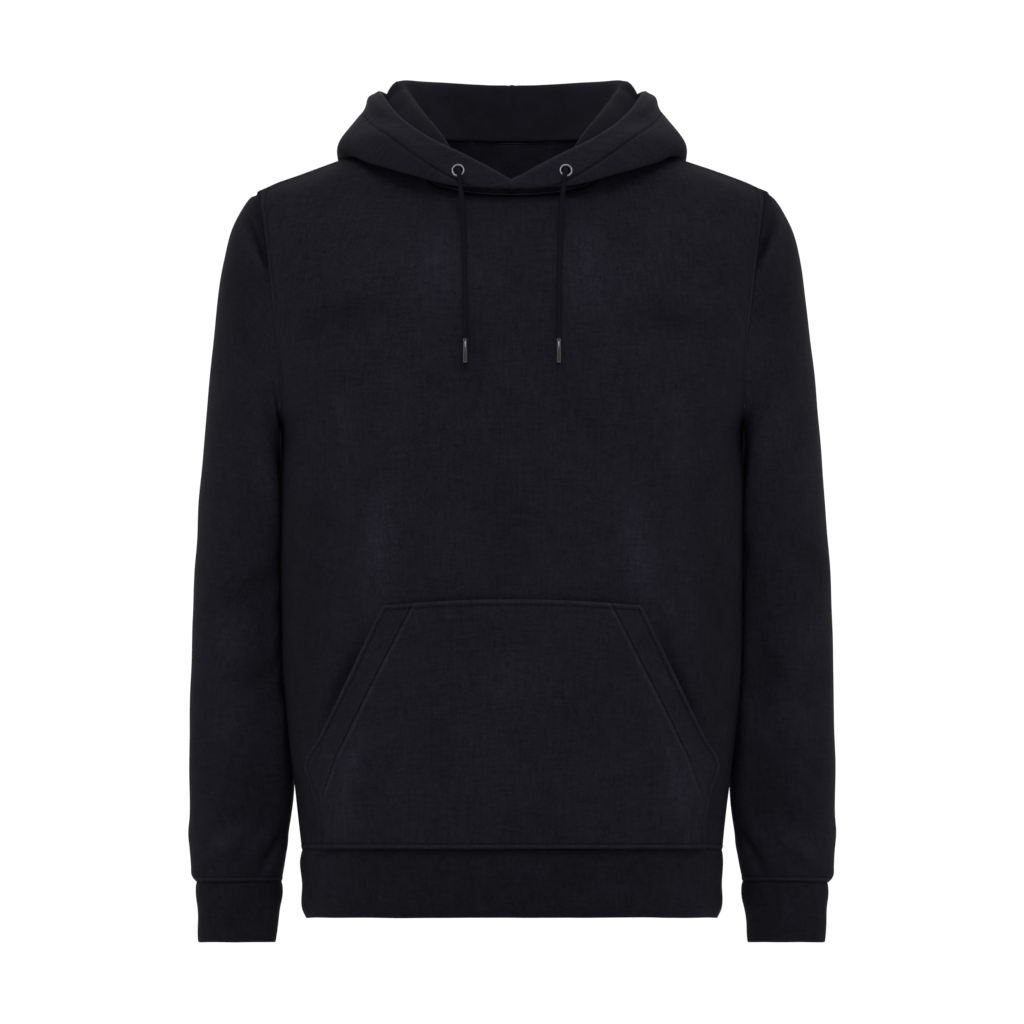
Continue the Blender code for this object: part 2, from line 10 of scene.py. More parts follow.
import bmesh
import bpy
import numpy as np
from bpy.props import FloatProperty, FloatVectorProperty, PointerProperty
from mathutils import Matrix, Vector
from mathutils.bvhtree import BVHTree


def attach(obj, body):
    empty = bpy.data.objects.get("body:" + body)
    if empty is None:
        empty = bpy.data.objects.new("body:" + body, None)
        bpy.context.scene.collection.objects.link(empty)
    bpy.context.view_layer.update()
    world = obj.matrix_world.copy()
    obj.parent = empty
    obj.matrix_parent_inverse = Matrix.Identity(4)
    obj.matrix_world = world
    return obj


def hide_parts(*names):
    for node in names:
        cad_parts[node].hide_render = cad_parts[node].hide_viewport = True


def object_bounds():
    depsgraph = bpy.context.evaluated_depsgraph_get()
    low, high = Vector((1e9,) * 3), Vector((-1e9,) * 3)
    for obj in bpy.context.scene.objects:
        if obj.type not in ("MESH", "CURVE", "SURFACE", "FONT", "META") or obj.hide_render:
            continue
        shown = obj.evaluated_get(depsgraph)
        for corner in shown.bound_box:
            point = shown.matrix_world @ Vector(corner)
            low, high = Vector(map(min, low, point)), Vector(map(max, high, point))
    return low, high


bl_info = {
    "name": "Pullover Hoodie",
    "version": (1, 0, 0),
    "blender": (4, 5, 0),
    "location": "View3D > Sidebar > Hoodie",
    "description": "Builds a hoodie's cloth, stitching, drawcord and studio around its CAD frame",
    "category": "Object",
}

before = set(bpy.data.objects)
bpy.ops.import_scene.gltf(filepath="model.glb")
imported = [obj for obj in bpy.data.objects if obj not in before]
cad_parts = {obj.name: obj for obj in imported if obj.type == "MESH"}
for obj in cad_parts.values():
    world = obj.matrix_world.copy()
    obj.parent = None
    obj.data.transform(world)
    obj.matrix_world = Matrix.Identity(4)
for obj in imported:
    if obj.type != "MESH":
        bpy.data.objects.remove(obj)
CAD_LOW, CAD_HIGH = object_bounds()

MM = 0.001
SIDES = {"left": 1, "right": -1}
BODY_AXIS = (0.0, 0.004)        # middle of the body, seen from above
BODY_COLUMNS = 25               # columns of points in the front's and the back's CAD wall


# ================================================================ sizes and colours
def length_of(name, description, default):
    return FloatProperty(name=name, description=description, default=default, unit="LENGTH")


def colour_of(name, description, default):
    return FloatVectorProperty(name=name, description=description, default=default, size=3, subtype="COLOR")


def share_of(name, description, default):
    return FloatProperty(name=name, description=description, default=default, min=0.0, subtype="FACTOR")


class HoodieCloth(bpy.types.PropertyGroup):
    fleece_wall: length_of("Fleece thickness", "Thickness of the brushed knit", 2.2 * MM)
    band_wall: length_of("Band thickness", "Thickness of the hem band and cuffs", 3.0 * MM)
    pocket_wall: length_of("Pocket thickness", "Thickness of the pocket's cloth", 1.5 * MM)
    pocket_cell: length_of("Pocket cell", "Grid cell of the pocket", 2.0 * MM)
    body_cell: length_of("Body cell", "Grid cell of the front and back", 3.6 * MM)
    small_cell: length_of("Fine cell", "Grid cell of the other cloth pieces", 3.0 * MM)
    fold_strength: share_of("Fold strength", "Scale of all folds", 1.5)
    seam_dip: length_of("Seam dip", "How deep the cloth dips into a seam", 0.25 * MM)
    stitch_length: length_of("Stitch length", "Length of one topstitch", 2.5 * MM)
    stitch_pitch: length_of("Stitch pitch", "Distance from stitch to stitch", 3.2 * MM)
    thread_radius: length_of("Thread radius", "Radius of the sewing thread", 0.24 * MM)


class HoodieCord(bpy.types.PropertyGroup):
    radius: length_of("Cord radius", "Radius of the round braided drawcord", 2.3 * MM)
    clear: length_of("Cord clearance", "Gap between a hanging cord and the front", 1.2 * MM)


class HoodieColours(bpy.types.PropertyGroup):
    fleece: colour_of("Fleece", "Colour of the knit's face", (0.0096, 0.0089, 0.0134))
    # The inside of the body, sleeves and pocket is painted over three times lighter than the hood's inside:
    # painted light for their shaded interior.
    inside: colour_of("Inside", "Colour of the brushed inside", (0.0310, 0.0290, 0.0425))
    hood_inside: colour_of("Hood inside", "Colour of the hood's brushed inside", (0.0090, 0.0084, 0.0122))
    band: colour_of("Band", "Colour of the hem band and cuffs", (0.0072, 0.0066, 0.0098))
    thread: colour_of("Thread", "Colour of the stitching", (0.0080, 0.0075, 0.0105))
    cord: colour_of("Cord", "Colour of the drawcord", (0.0072, 0.0067, 0.0098))
    metal: colour_of("Metal", "Colour of the eyelets", (0.32, 0.32, 0.34))
    tip_metal: colour_of("Tip metal", "Colour of the cord tips", (0.085, 0.085, 0.092))
    floor: colour_of("Floor", "Colour of the floor", (0.92, 0.92, 0.92))


class HoodieStage(bpy.types.PropertyGroup):
    view_width: length_of("View width", "Width of the view at the garment", 0.942)
    view_height: length_of("View height", "Height of the view's middle", -0.324)
    camera_distance: length_of("Camera distance", "From the camera to the garment", 5.0)
    sky_front: share_of("Sky in front", "Brightness of the studio facing the front", 0.42)
    sky_back: share_of("Sky behind", "Brightness of the studio's rear wall", 1.05)
    floor_gap: length_of("Floor gap", "From the cuffs down to the floor", 0.12)


GROUPS = {
    "hoodie_cloth": HoodieCloth,
    "hoodie_cord": HoodieCord,
    "hoodie_colours": HoodieColours,
    "hoodie_stage": HoodieStage,
}


# ================================================================ smooth grids
def spline(points, knots, places):
    """Smooth line through points at uneven knots, read at the given places. Works on rows of points."""
    slopes = np.gradient(points, knots, axis=0)
    index = np.clip(np.searchsorted(knots, places, side="right") - 1, 0, len(knots) - 2)
    shape = (-1,) + (1,) * (points.ndim - 1)
    span = (knots[index + 1] - knots[index]).reshape(shape)
    t = ((places - knots[index]) / (knots[index + 1] - knots[index])).reshape(shape)
    t2, t3 = t * t, t * t * t
    return (points[index] * (2 * t3 - 3 * t2 + 1) + slopes[index] * span * (t3 - 2 * t2 + t)
            + points[index + 1] * (3 * t2 - 2 * t3) + slopes[index + 1] * span * (t3 - t2))


def smoothstep(low, high, values):
    """0 below a low value and 1 above a high one, with a smooth rise between them."""
    t = np.clip((values - low) / (high - low), 0.0, 1.0)
    return t * t * (3 - 2 * t)


def run_lengths(points):
    """How far each point of a line lies along it."""
    return np.concatenate(((0.0,), np.cumsum(np.linalg.norm(np.diff(points, axis=0), axis=1))))


def other_corner(face, edge):
    """The corner of a triangle that is not on an edge."""
    return next(vert for vert in face.verts if vert not in edge.verts)


def outer_sheet(node, wall, axis):
    """The outer sheet of a cloth node's wall as a bmesh of triangles, without its cut edges."""
    shape = bmesh.new()
    shape.from_mesh(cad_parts[node].data)
    bmesh.ops.remove_doubles(shape, verts=shape.verts, dist=0.01 * MM)
    through = [edge for edge in shape.edges if abs(edge.calc_length() - wall) < 0.01 * MM]
    rims = {face for edge in through for face in edge.link_faces}
    bmesh.ops.delete(shape, geom=list(rims), context="FACES")
    left, sheets = set(shape.faces), []
    while left:
        stack = [left.pop()]
        sheet = list(stack)
        while stack:
            for edge in stack.pop().edges:
                for face in edge.link_faces:
                    if face in left:
                        left.discard(face)
                        stack.append(face)
                        sheet.append(face)
        sheets.append(sheet)

    def outwardness(sheet):
        middles = [face.calc_center_median() for face in sheet]
        return sum(face.normal.dot(Vector((middle.x - axis[0], middle.y - axis[1], 0))) * face.calc_area()
                   for face, middle in zip(sheet, middles))

    sheets.sort(key=outwardness)
    bmesh.ops.delete(shape, geom=[face for sheet in sheets[:-1] for face in sheet], context="FACES")
    return shape


def next_on_edge(vert, visited):
    """Next vert along the sheet's open edge, away from those already visited."""
    for edge in vert.link_edges:
        if edge.is_boundary and edge.other_vert(vert) not in visited:
            return edge.other_vert(vert)
    return None


def shared_edge(first, second):
    return next(edge for edge in first.link_edges if edge.other_vert(first) is second)


def read_grid(node, wall, axis, columns, closed):
    """Rows of points of a cloth node's outer sheet, from its lowest row up, as its maker laid them.

    Each cell of the grid is two triangles, cut along either diagonal. From a known lower side of
    a cell, the triangle on it shows which, and so gives the cell's upper side.
    """
    shape = outer_sheet(node, wall, axis)
    edge_verts = [vert for vert in shape.verts if vert.is_boundary]
    low = min(vert.co.z for vert in edge_verts)
    if closed:
        lowest = [vert for vert in edge_verts if vert.co.z < low + MM]
        start = min(lowest, key=lambda vert: vert.co.y)
        second = max((edge.other_vert(start) for edge in start.link_edges if edge.is_boundary),
                     key=lambda vert: vert.co.x)
    else:
        start = min(edge_verts, key=lambda vert: vert.co.z * 4 + vert.co.x)
        second = max((edge.other_vert(start) for edge in start.link_edges if edge.is_boundary),
                     key=lambda vert: vert.co.x - abs(vert.co.z - low) * 4)
    row = [start, second]
    while len(row) < columns:
        row.append(next_on_edge(row[-1], row[-2:]))
    rows, done = [row], set()
    side = next(edge.other_vert(start) for edge in start.link_edges
                if edge.is_boundary and edge.other_vert(start) is not second) if not closed else None
    while True:
        if closed:
            cells = [(row[i], row[(i + 1) % columns]) for i in range(columns)]
        else:
            cells = list(zip(row, row[1:]))
        first = shared_edge(*cells[0])
        faces = [face for face in first.link_faces if face not in done]
        if not faces:
            break
        if closed:
            corner = other_corner(faces[0], first)
            if (corner.co - cells[0][0].co).length < (corner.co - cells[0][1].co).length:
                side = corner
            else:
                across = shared_edge(cells[0][0], corner)
                behind = next(face for face in across.link_faces if face is not faces[0])
                side = other_corner(behind, across)
        upper = [side]
        for near, far in cells:
            edge = shared_edge(near, far)
            face = next(face for face in edge.link_faces if face not in done)
            done.add(face)
            corner = other_corner(face, edge)
            if corner is upper[-1]:
                diagonal = shared_edge(far, corner)
                face = next(face for face in diagonal.link_faces if face not in done)
                corner = other_corner(face, diagonal)
            else:
                diagonal = shared_edge(near, corner)
                face = next(face for face in diagonal.link_faces if face not in done)
            done.add(face)
            upper.append(corner)
        if closed:
            upper.pop()
        rows.append(upper)
        if not closed:
            side = next_on_edge(upper[0], [row[0], upper[1]])
        row = upper
    grid = np.array([[vert.co[:] for vert in row] for row in rows])
    shape.free()
    return grid


BESIDE_SEAM = np.array((0.0, 0.5, 1.1, 1.8, 2.6, 3.4, 4.2, 5.0, 6.2, 8.4)) * MM


def steps(length, cell):
    """Places along a length about a cell apart, and closer together beside the seams at its ends."""
    reach = BESIDE_SEAM[-1] + cell * 0.8
    count = max(int(round((length - reach - reach) / cell)), 1)
    places = [*BESIDE_SEAM, *(length - BESIDE_SEAM), *np.linspace(reach, length - reach, count + 1)]
    return np.array(sorted(set(np.round(places, 7))))


def lengths(points, axis):
    """How far each point of a grid lies along its row or column, measured on the cloth."""
    gaps = np.linalg.norm(np.diff(points, axis=axis), axis=2)
    total = np.cumsum(gaps, axis=axis)
    return np.concatenate((np.zeros_like(np.take(total, (0,), axis=axis)), total), axis=axis)


def chord_knots(grid, axis):
    """Knots of a coarse grid along one of its directions: its mean lengths."""
    gaps = np.linalg.norm(np.diff(grid, axis=axis), axis=2).mean(axis=1 - axis)
    return np.concatenate(((0.0,), np.cumsum(gaps)))


ROLL_TURNS = (22, 45, 68, 90, 112, 135, 158, 180)   # steps round a folded edge, in degrees


def inner_places(depth):
    """How far from its folded edge each step of a turned-in layer lies."""
    return np.arange(2, depth / MM, 2.4) * MM


def read_at(place, places, rows):
    """A row of values at a place, between rows that lie at rising places."""
    return [np.interp(place, places, rows[:, k]) for k in range(rows.shape[1])]


class Sheet:
    """A cloth piece's outer face as a fine grid of points, rows going up and columns across.

    across and up hold each point's measure along the cloth in metres: across from the middle
    column, or from the first column of a tube, and up from the lowest row.
    """

    def __init__(self, grid, closed, cell):
        self.closed = closed
        up_knots = chord_knots(grid, 0)
        across_knots = chord_knots(grid, 1)
        if closed:
            girth = across_knots[-1] + np.linalg.norm(grid[:, 0] - grid[:, -1], axis=1).mean()
            wrap = 3
            across_knots = np.concatenate((across_knots[-wrap:] - girth, across_knots,
                                           across_knots[:wrap] + girth))
            grid = np.concatenate((grid[:, -wrap:], grid, grid[:, :wrap]), axis=1)
            across = np.linspace(0, girth, max(int(round(girth / cell)), 8), endpoint=False)
        else:
            across = steps(across_knots[-1], cell)
        rows = spline(np.swapaxes(grid, 0, 1), across_knots, across)
        self.points = spline(np.swapaxes(rows, 0, 1), up_knots, steps(up_knots[-1], cell))
        # painted light and shade of each point: above 0 a painted highlight, below 0 painted shade
        self.painted_shading = np.zeros(self.points.shape[:2])
        self.measure()

    def measure(self):
        self.up = lengths(self.points, 0)
        if self.closed:
            around = lengths(np.concatenate((self.points, self.points[:, :1]), axis=1), 1)
            self.across, self.girth = around[:, :-1], around[:, -1:]
        else:
            around = lengths(self.points, 1)
            middle = around[:, -1:] / 2
            self.across, self.girth = around - middle, middle * 2
        self.height = self.up[-1:]

    def normals(self):
        if self.closed:
            padded = np.concatenate((self.points[:, -1:], self.points, self.points[:, :1]), axis=1)
            d_across = padded[:, 2:] - padded[:, :-2]
        else:
            d_across = np.gradient(self.points, axis=1)
        normal = np.cross(d_across, np.gradient(self.points, axis=0))
        return normal / np.maximum(np.linalg.norm(normal, axis=2, keepdims=True), 1e-12)

    def push(self, heights):
        """Moves every point out along the cloth's own normal."""
        self.points = self.points + self.normals() * heights[..., None]

    def widen(self, low, high, sides=0.3):
        """Moves the sewn edges out along the cloth by millimetres, so that it reaches into its seams."""
        for axis, amounts in ((0, (low, high)), (1, (sides, sides)))[:1 if self.closed else 2]:
            points = np.swapaxes(self.points, 0, axis).copy()
            for edge, inner, amount in ((0, 2, amounts[0]), (-1, -3, amounts[1])):
                ahead = points[edge] - points[inner]
                points[edge] += ahead / np.linalg.norm(ahead, axis=1, keepdims=True) * amount * MM
            self.points = np.swapaxes(points, 0, axis)

    def relax(self, rounds):
        """Evens out small kinks of the form, with the edges left where they are."""
        for _ in range(rounds):
            old = self.points
            mean = (old[:-2, 1:-1] + old[2:, 1:-1] + old[1:-1, :-2] + old[1:-1, 2:]) / 4
            self.points = old.copy()
            self.points[1:-1, 1:-1] = old[1:-1, 1:-1] * 0.5 + mean * 0.5
        self.measure()

    def drawn_line(self, start, end, count=60):
        """Points and outward directions of a straight line between two places on the cloth."""
        normals = self.normals()
        line = []
        for across, up in np.linspace(start, end, count):
            column = []
            for row in range(self.points.shape[0]):
                column.append([self.up[row].mean(), *read_at(across, self.across[row], self.points[row]),
                               *read_at(across, self.across[row], normals[row])])
            column = np.array(column)
            line.append(read_at(up, column[:, 0], column[:, 1:]))
        line = np.array(line)
        return line[:, :3], line[:, 3:]

    def side_distance(self):
        """Distance from the nearer of a panel's two sides."""
        return self.girth / 2 - np.abs(self.across)

    def row_line(self, distance, from_top=False):
        """Points and outward directions of the line at a distance from the lowest or highest row."""
        field = np.concatenate((self.points, self.normals()), axis=2)
        line = []
        for column in range(field.shape[1]):
            up = self.up[:, column]
            line.append(read_at(up[-1] - distance if from_top else distance, up, field[:, column]))
        line = np.array(line)
        if self.closed:
            line = np.concatenate((line, line[:1]))
        return line[:, :3], line[:, 3:]

    def column_line(self, distance, side):
        """The same beside a panel's first side (-1) or last side (1), from the lowest row up."""
        field = np.concatenate((self.points, self.normals()), axis=2)
        line = []
        for row in range(field.shape[0]):
            place = side * (self.girth[row, 0] / 2 - distance)
            line.append(read_at(place, self.across[row], field[row]))
        line = np.array(line)
        return line[:, :3], line[:, 3:]

    def turn_in(self, edge, radius, depth):
        """Folds an edge round to the inside: a half circle and a flat layer behind the cloth.

        edge is "top", "bottom", "first" or "last".
        """
        points, normals, painted_shading = self.points, self.normals(), self.painted_shading
        if edge in ("first", "last"):
            points, normals, painted_shading = np.swapaxes(points, 0, 1), np.swapaxes(normals, 0, 1), painted_shading.T
        if edge in ("bottom", "first"):
            points, normals, painted_shading = points[::-1], normals[::-1], painted_shading[::-1]
        tip, out = points[-1], normals[-1]
        ahead = tip - points[-3]
        ahead -= out * np.sum(ahead * out, axis=1, keepdims=True)
        ahead /= np.linalg.norm(ahead, axis=1, keepdims=True)
        added = []
        for turn in np.radians(ROLL_TURNS):
            added.append(tip - out * radius * (1 - math.cos(turn)) + ahead * radius * math.sin(turn))
        back = lengths(points[::-1], 0)
        under = (points - normals * 2 * radius)[::-1]
        for place in inner_places(depth):
            added.append(np.array([read_at(place, back[:, c], under[:, c]) for c in range(points.shape[1])]))
        points = np.concatenate((points, np.array(added)))
        # the edge's painted light and shade carries round the roll; the layer behind gets none
        shading = np.repeat(painted_shading[-1:], len(added), axis=0)
        shading[len(ROLL_TURNS):] = 0
        painted_shading = np.concatenate((painted_shading, shading))
        if edge in ("bottom", "first"):
            points, painted_shading = points[::-1], painted_shading[::-1]
        if edge in ("first", "last"):
            points, painted_shading = np.swapaxes(points, 0, 1), painted_shading.T
        self.points, self.painted_shading = points, painted_shading
        self.measure()


def cells(field):
    """The four corners of each cell of a grid."""
    return np.stack((field[:-1, :-1], field[:-1, 1:], field[1:, 1:], field[1:, :-1]), axis=2)


def smooth_object(name, points, faces):
    """A new smooth-shaded object from points and faces."""
    mesh = bpy.data.meshes.new(name)
    mesh.from_pydata(points.tolist(), [], faces)
    mesh.shade_smooth()
    made = bpy.data.objects.new(name, mesh)
    bpy.context.scene.collection.objects.link(made)
    return made


def sheet_mesh(name, sheet, folded=False):
    """Mesh of a sheet, with its cloth measure in metres as a UV map.

    A folded one is a band whose inner layer ends where its outer one does, and is closed there.
    """
    rows, columns = sheet.points.shape[:2]
    index = np.arange(rows * columns).reshape(rows, columns)
    across, up = sheet.across, sheet.up
    if folded:
        index = np.concatenate((index, index[:1]))
        across = np.concatenate((across, across[:1]))
        up = np.concatenate((up, up[-1:] + 3 * MM))
    if sheet.closed:
        index = np.concatenate((index, index[:, :1]), axis=1)
        girth = np.concatenate((sheet.girth, sheet.girth[:1]))[:len(across)]
        across = np.concatenate((across, girth), axis=1)
        up = np.concatenate((up, up[:, :1]), axis=1)
    measure = np.stack((across, up), axis=-1)
    made = smooth_object(name, sheet.points.reshape(-1, 3), cells(index).reshape(-1, 4).tolist())
    layer = made.data.uv_layers.new(name="cloth")
    layer.data.foreach_set("uv", cells(measure).astype(np.float32).ravel())
    # the painted light and shade goes to the mesh as a point attribute
    shading = made.data.attributes.new("painted_shading", "FLOAT", "POINT")
    shading.data.foreach_set("value", sheet.painted_shading.astype(np.float32).ravel())
    return made


def open_corners(made, sheet, depth):
    """Takes the twice turned-in layer out of the two top corners, where it would come round to the front."""
    height, width = sheet.points.shape[:2]
    layer = len(inner_places(depth))
    rows, columns = layer + len(ROLL_TURNS), layer + len(ROLL_TURNS) // 2
    cloth = bmesh.new()
    cloth.from_mesh(made.data)
    cloth.verts.ensure_lookup_table()
    extra = [cloth.verts[row * width + column] for row in range(height - rows, height)
             for column in (*range(columns), *range(width - columns, width))]
    bmesh.ops.delete(cloth, geom=extra, context="VERTS")
    cloth.to_mesh(made.data)
    cloth.free()


def choose(made):
    """Makes one object the only selected and the active one."""
    bpy.ops.object.select_all(action="DESELECT")
    made.select_set(True)
    bpy.context.view_layer.objects.active = made


def give_wall(made, wall, face, inside):
    """Gives a sheet its thickness on the inside, with a second material on the brushed side."""
    made.data.materials.append(face)
    made.data.materials.append(inside)
    choose(made)
    wall_maker = made.modifiers.new("Wall", "SOLIDIFY")
    wall_maker.thickness = wall
    wall_maker.offset = -1
    wall_maker.material_offset = 1
    wall_maker.use_quality_normals = True
    bpy.ops.object.modifier_apply(modifier=wall_maker.name)


# ================================================================ folds and seams
def fold_heights(sheet, folds, strength, mirrored=False):
    """Sum of the soft ridges and troughs of a fold table.

    Each row is a line on the cloth, from one place to another, bowed sideways at its middle,
    with its width and its depth in millimetres. A negative depth is a trough.
    """
    total = np.zeros_like(sheet.up)
    across = sheet.across
    if mirrored:
        across = sheet.girth - across if sheet.closed else -across
    for start_across, start_up, end_across, end_up, bow, width, depth in zip(*folds.values()):
        start = np.array((start_across, start_up)) * MM
        line = np.array((end_across, end_up)) * MM - start
        length = np.hypot(*line)
        along, side = line / length, np.array((-line[1], line[0])) / length
        x = across - start[0]
        if sheet.closed:
            middle = line[0] / 2
            x = (x - middle + sheet.girth / 2) % sheet.girth - sheet.girth / 2 + middle
        y = sheet.up - start[1]
        t = (x * along[0] + y * along[1]) / length
        away = x * side[0] + y * side[1] - bow * MM * 4 * np.clip(t, 0, 1) * (1 - np.clip(t, 0, 1))
        ends = np.clip(np.abs(t - 0.5) * 2, 0, None)
        taper = np.where(ends < 1, np.cos(ends * math.pi / 2) ** 2, 0.0) ** 0.7
        total += depth * MM * strength * taper * np.exp(-(away / (width * MM)) ** 2)
    return total


def crease(sheet, table, side):
    """Ridges and troughs on the front that are placed by height and distance from the middle."""
    x, y, z = np.moveaxis(sheet.points, 2, 0)
    front = y < np.mean(y)
    total = np.zeros_like(x)
    for start_x, start_z, end_x, end_z, width, depth in zip(*table.values()):
        start = np.array((side * start_x, start_z)) * MM
        line = np.array((side * end_x, end_z)) * MM - start
        length = np.hypot(*line)
        along = line / length
        t = ((x - start[0]) * along[0] + (z - start[1]) * along[1]) / length
        away = -(x - start[0]) * along[1] + (z - start[1]) * along[0]
        taper = np.where(np.abs(t - 0.5) < 0.5, np.cos((t - 0.5) * math.pi), 0.0)
        total += depth * MM * taper * np.exp(-(away / (width * MM)) ** 2) * front
    return total


def paint_light_patches(sheet, table):
    """Soft patches of painted light and painted shade, placed by distance from the middle and height."""
    x, _, z = np.moveaxis(sheet.points, 2, 0)
    for place_x, place_z, wide, high, amount in zip(*table.values()):
        away = ((np.abs(x) - place_x * MM) / (wide * MM)) ** 2 + ((z - place_z * MM) / (high * MM)) ** 2
        sheet.painted_shading += amount * np.exp(-away)


def paint_fold_shading(sheet, heights):
    """Paints a highlight on what stands proud of the cloth and paints shade into its troughs, following the
    fold heights.
    """
    full, share, most = 2.5 * MM, 0.3, 0.45
    sheet.painted_shading += np.clip(heights / full * share, -most, most)


def ripple(points, seed, size, depth=0.35 * MM):
    """Smooth unevenness of the cloth about a size long, from a few crossing waves."""
    numbers = np.random.default_rng(seed)
    total = np.zeros(points.shape[:2])
    waves = 14
    for _ in range(waves):
        direction = numbers.normal(size=3)
        direction /= np.linalg.norm(direction)
        length = size * numbers.uniform(0.7, 1.6)
        total += np.sin(points @ direction * 2 * math.pi / length + numbers.uniform(0, 2 * math.pi))
    return total * depth / math.sqrt(waves / 2)


def folds_and_painted_shading(sheet, folds, light_patches, unevenness, mirrored=False):
    """Heights of a piece's folds and of its unevenness. The painted light and shade of its folds, and its
    patches of painted light and shade, are laid on the sheet.
    """
    heights = fold_heights(sheet, folds, bpy.context.scene.hoodie_cloth.fold_strength, mirrored)
    paint_fold_shading(sheet, heights)
    paint_light_patches(sheet, light_patches)
    return heights + ripple(sheet.points, *unevenness)


def near(distance, place, width):
    """1 on a line at a distance from an edge, in millimetres, and fading to both sides of it."""
    return np.exp(-((distance - place * MM) / (width * MM)) ** 2)


def bands(distance, table):
    """Sum of soft bands along an edge, each with its place and width in millimetres, and its amount."""
    return sum(amount * near(distance, place, width) for place, width, amount in table)


def seam_heights(distance, dip, stitched=(), swell=0.35):
    """Height of the cloth beside a seam: it dips into it, swells over the allowance, and is
    drawn down again along each row of topstitching. Rows and swell are in millimetres."""
    drawn = [(row, 0.9, -0.38) for row in stitched]
    return bands(distance, [(0, 1.1, -dip / MM), (3.2, 2.4, swell), *drawn]) * MM


def seam_painted_shading(distance):
    """Painted light and shade beside a topstitched seam: a painted highlight on its raised allowance, between
    lines of painted shade in the seam and along the stitching."""
    allowance = smoothstep(0.5 * MM, 1.5 * MM, distance) - smoothstep(3.4 * MM, 4.3 * MM, distance)
    return 0.36 * allowance + bands(distance, ((0, 0.7, -0.45), (4.8, 0.8, -0.4)))


# ================================================================ materials
def new_material(name, colour, roughness, metallic=0.0, specular=0.5):
    made = bpy.data.materials.new(name)
    made.use_nodes = True
    shader = made.node_tree.nodes["Principled BSDF"]
    shader.inputs["Base Color"].default_value = (*colour, 1.0)
    shader.inputs["Roughness"].default_value = roughness
    shader.inputs["Metallic"].default_value = metallic
    shader.inputs["Specular IOR Level"].default_value = specular
    return made, made.node_tree, shader


def add_node(tree, kind, **settings):
    made = tree.nodes.new(kind)
    for name, value in settings.items():
        if name in made.inputs:
            made.inputs[name].default_value = value
        else:
            setattr(made, name, value)
    return made


def colour_range(tree, factor, colour, dark, light):
    """Mixes a darker and a lighter shade of a colour by a factor."""
    ramp = add_node(tree, "ShaderNodeMix", data_type="RGBA")
    ramp.inputs[6].default_value = (*[c * dark for c in colour], 1.0)
    ramp.inputs[7].default_value = (*[c * light for c in colour], 1.0)
    tree.links.new(factor, ramp.inputs[0])
    return ramp.outputs[2]


def noise(tree, source, scale, detail, roughness, stretch=None):
    """Patches of a noise, or streaks where it is stretched across or up the cloth."""
    texture = add_node(tree, "ShaderNodeTexNoise", Scale=scale, Detail=detail, Roughness=roughness)
    if stretch:
        mapping = add_node(tree, "ShaderNodeMapping")
        mapping.inputs["Scale"].default_value = stretch
        tree.links.new(source, mapping.inputs["Vector"])
        source = mapping.outputs["Vector"]
    tree.links.new(source, texture.inputs["Vector"])
    return texture.outputs["Fac"]


def rows_of_loops(tree, cloth, direction, size, distortion):
    """Ridges of the knit across or up the cloth. They lie 2 pi times the size apart, because the
    wave texture takes the sine of 20 times its scale times the place."""
    texture = add_node(tree, "ShaderNodeTexWave", wave_type="BANDS", bands_direction=direction,
                       Scale=1 / size / 20, Distortion=distortion, Detail=1.0)
    tree.links.new(cloth, texture.inputs["Vector"])
    return texture.outputs["Fac"]


def mixed(tree, first, second, share):
    node = add_node(tree, "ShaderNodeMix", data_type="FLOAT")
    node.inputs[0].default_value = share
    tree.links.new(first, node.inputs[2])
    tree.links.new(second, node.inputs[3])
    return node.outputs[0]


def mapped(tree, value, **ends):
    """A value carried from one range to another."""
    node = add_node(tree, "ShaderNodeMapRange")
    for name, end in ends.items():
        node.inputs[name.replace("_", " ").title()].default_value = end
    tree.links.new(value, node.inputs["Value"])
    return node.outputs["Result"]


def bumps(tree, height, strength, distance, under=None):
    """Normals of a small relief, on top of those of another."""
    node = add_node(tree, "ShaderNodeBump", Strength=strength, Distance=distance)
    tree.links.new(height, node.inputs["Height"])
    if under:
        tree.links.new(under, node.inputs["Normal"])
    return node.outputs["Normal"]


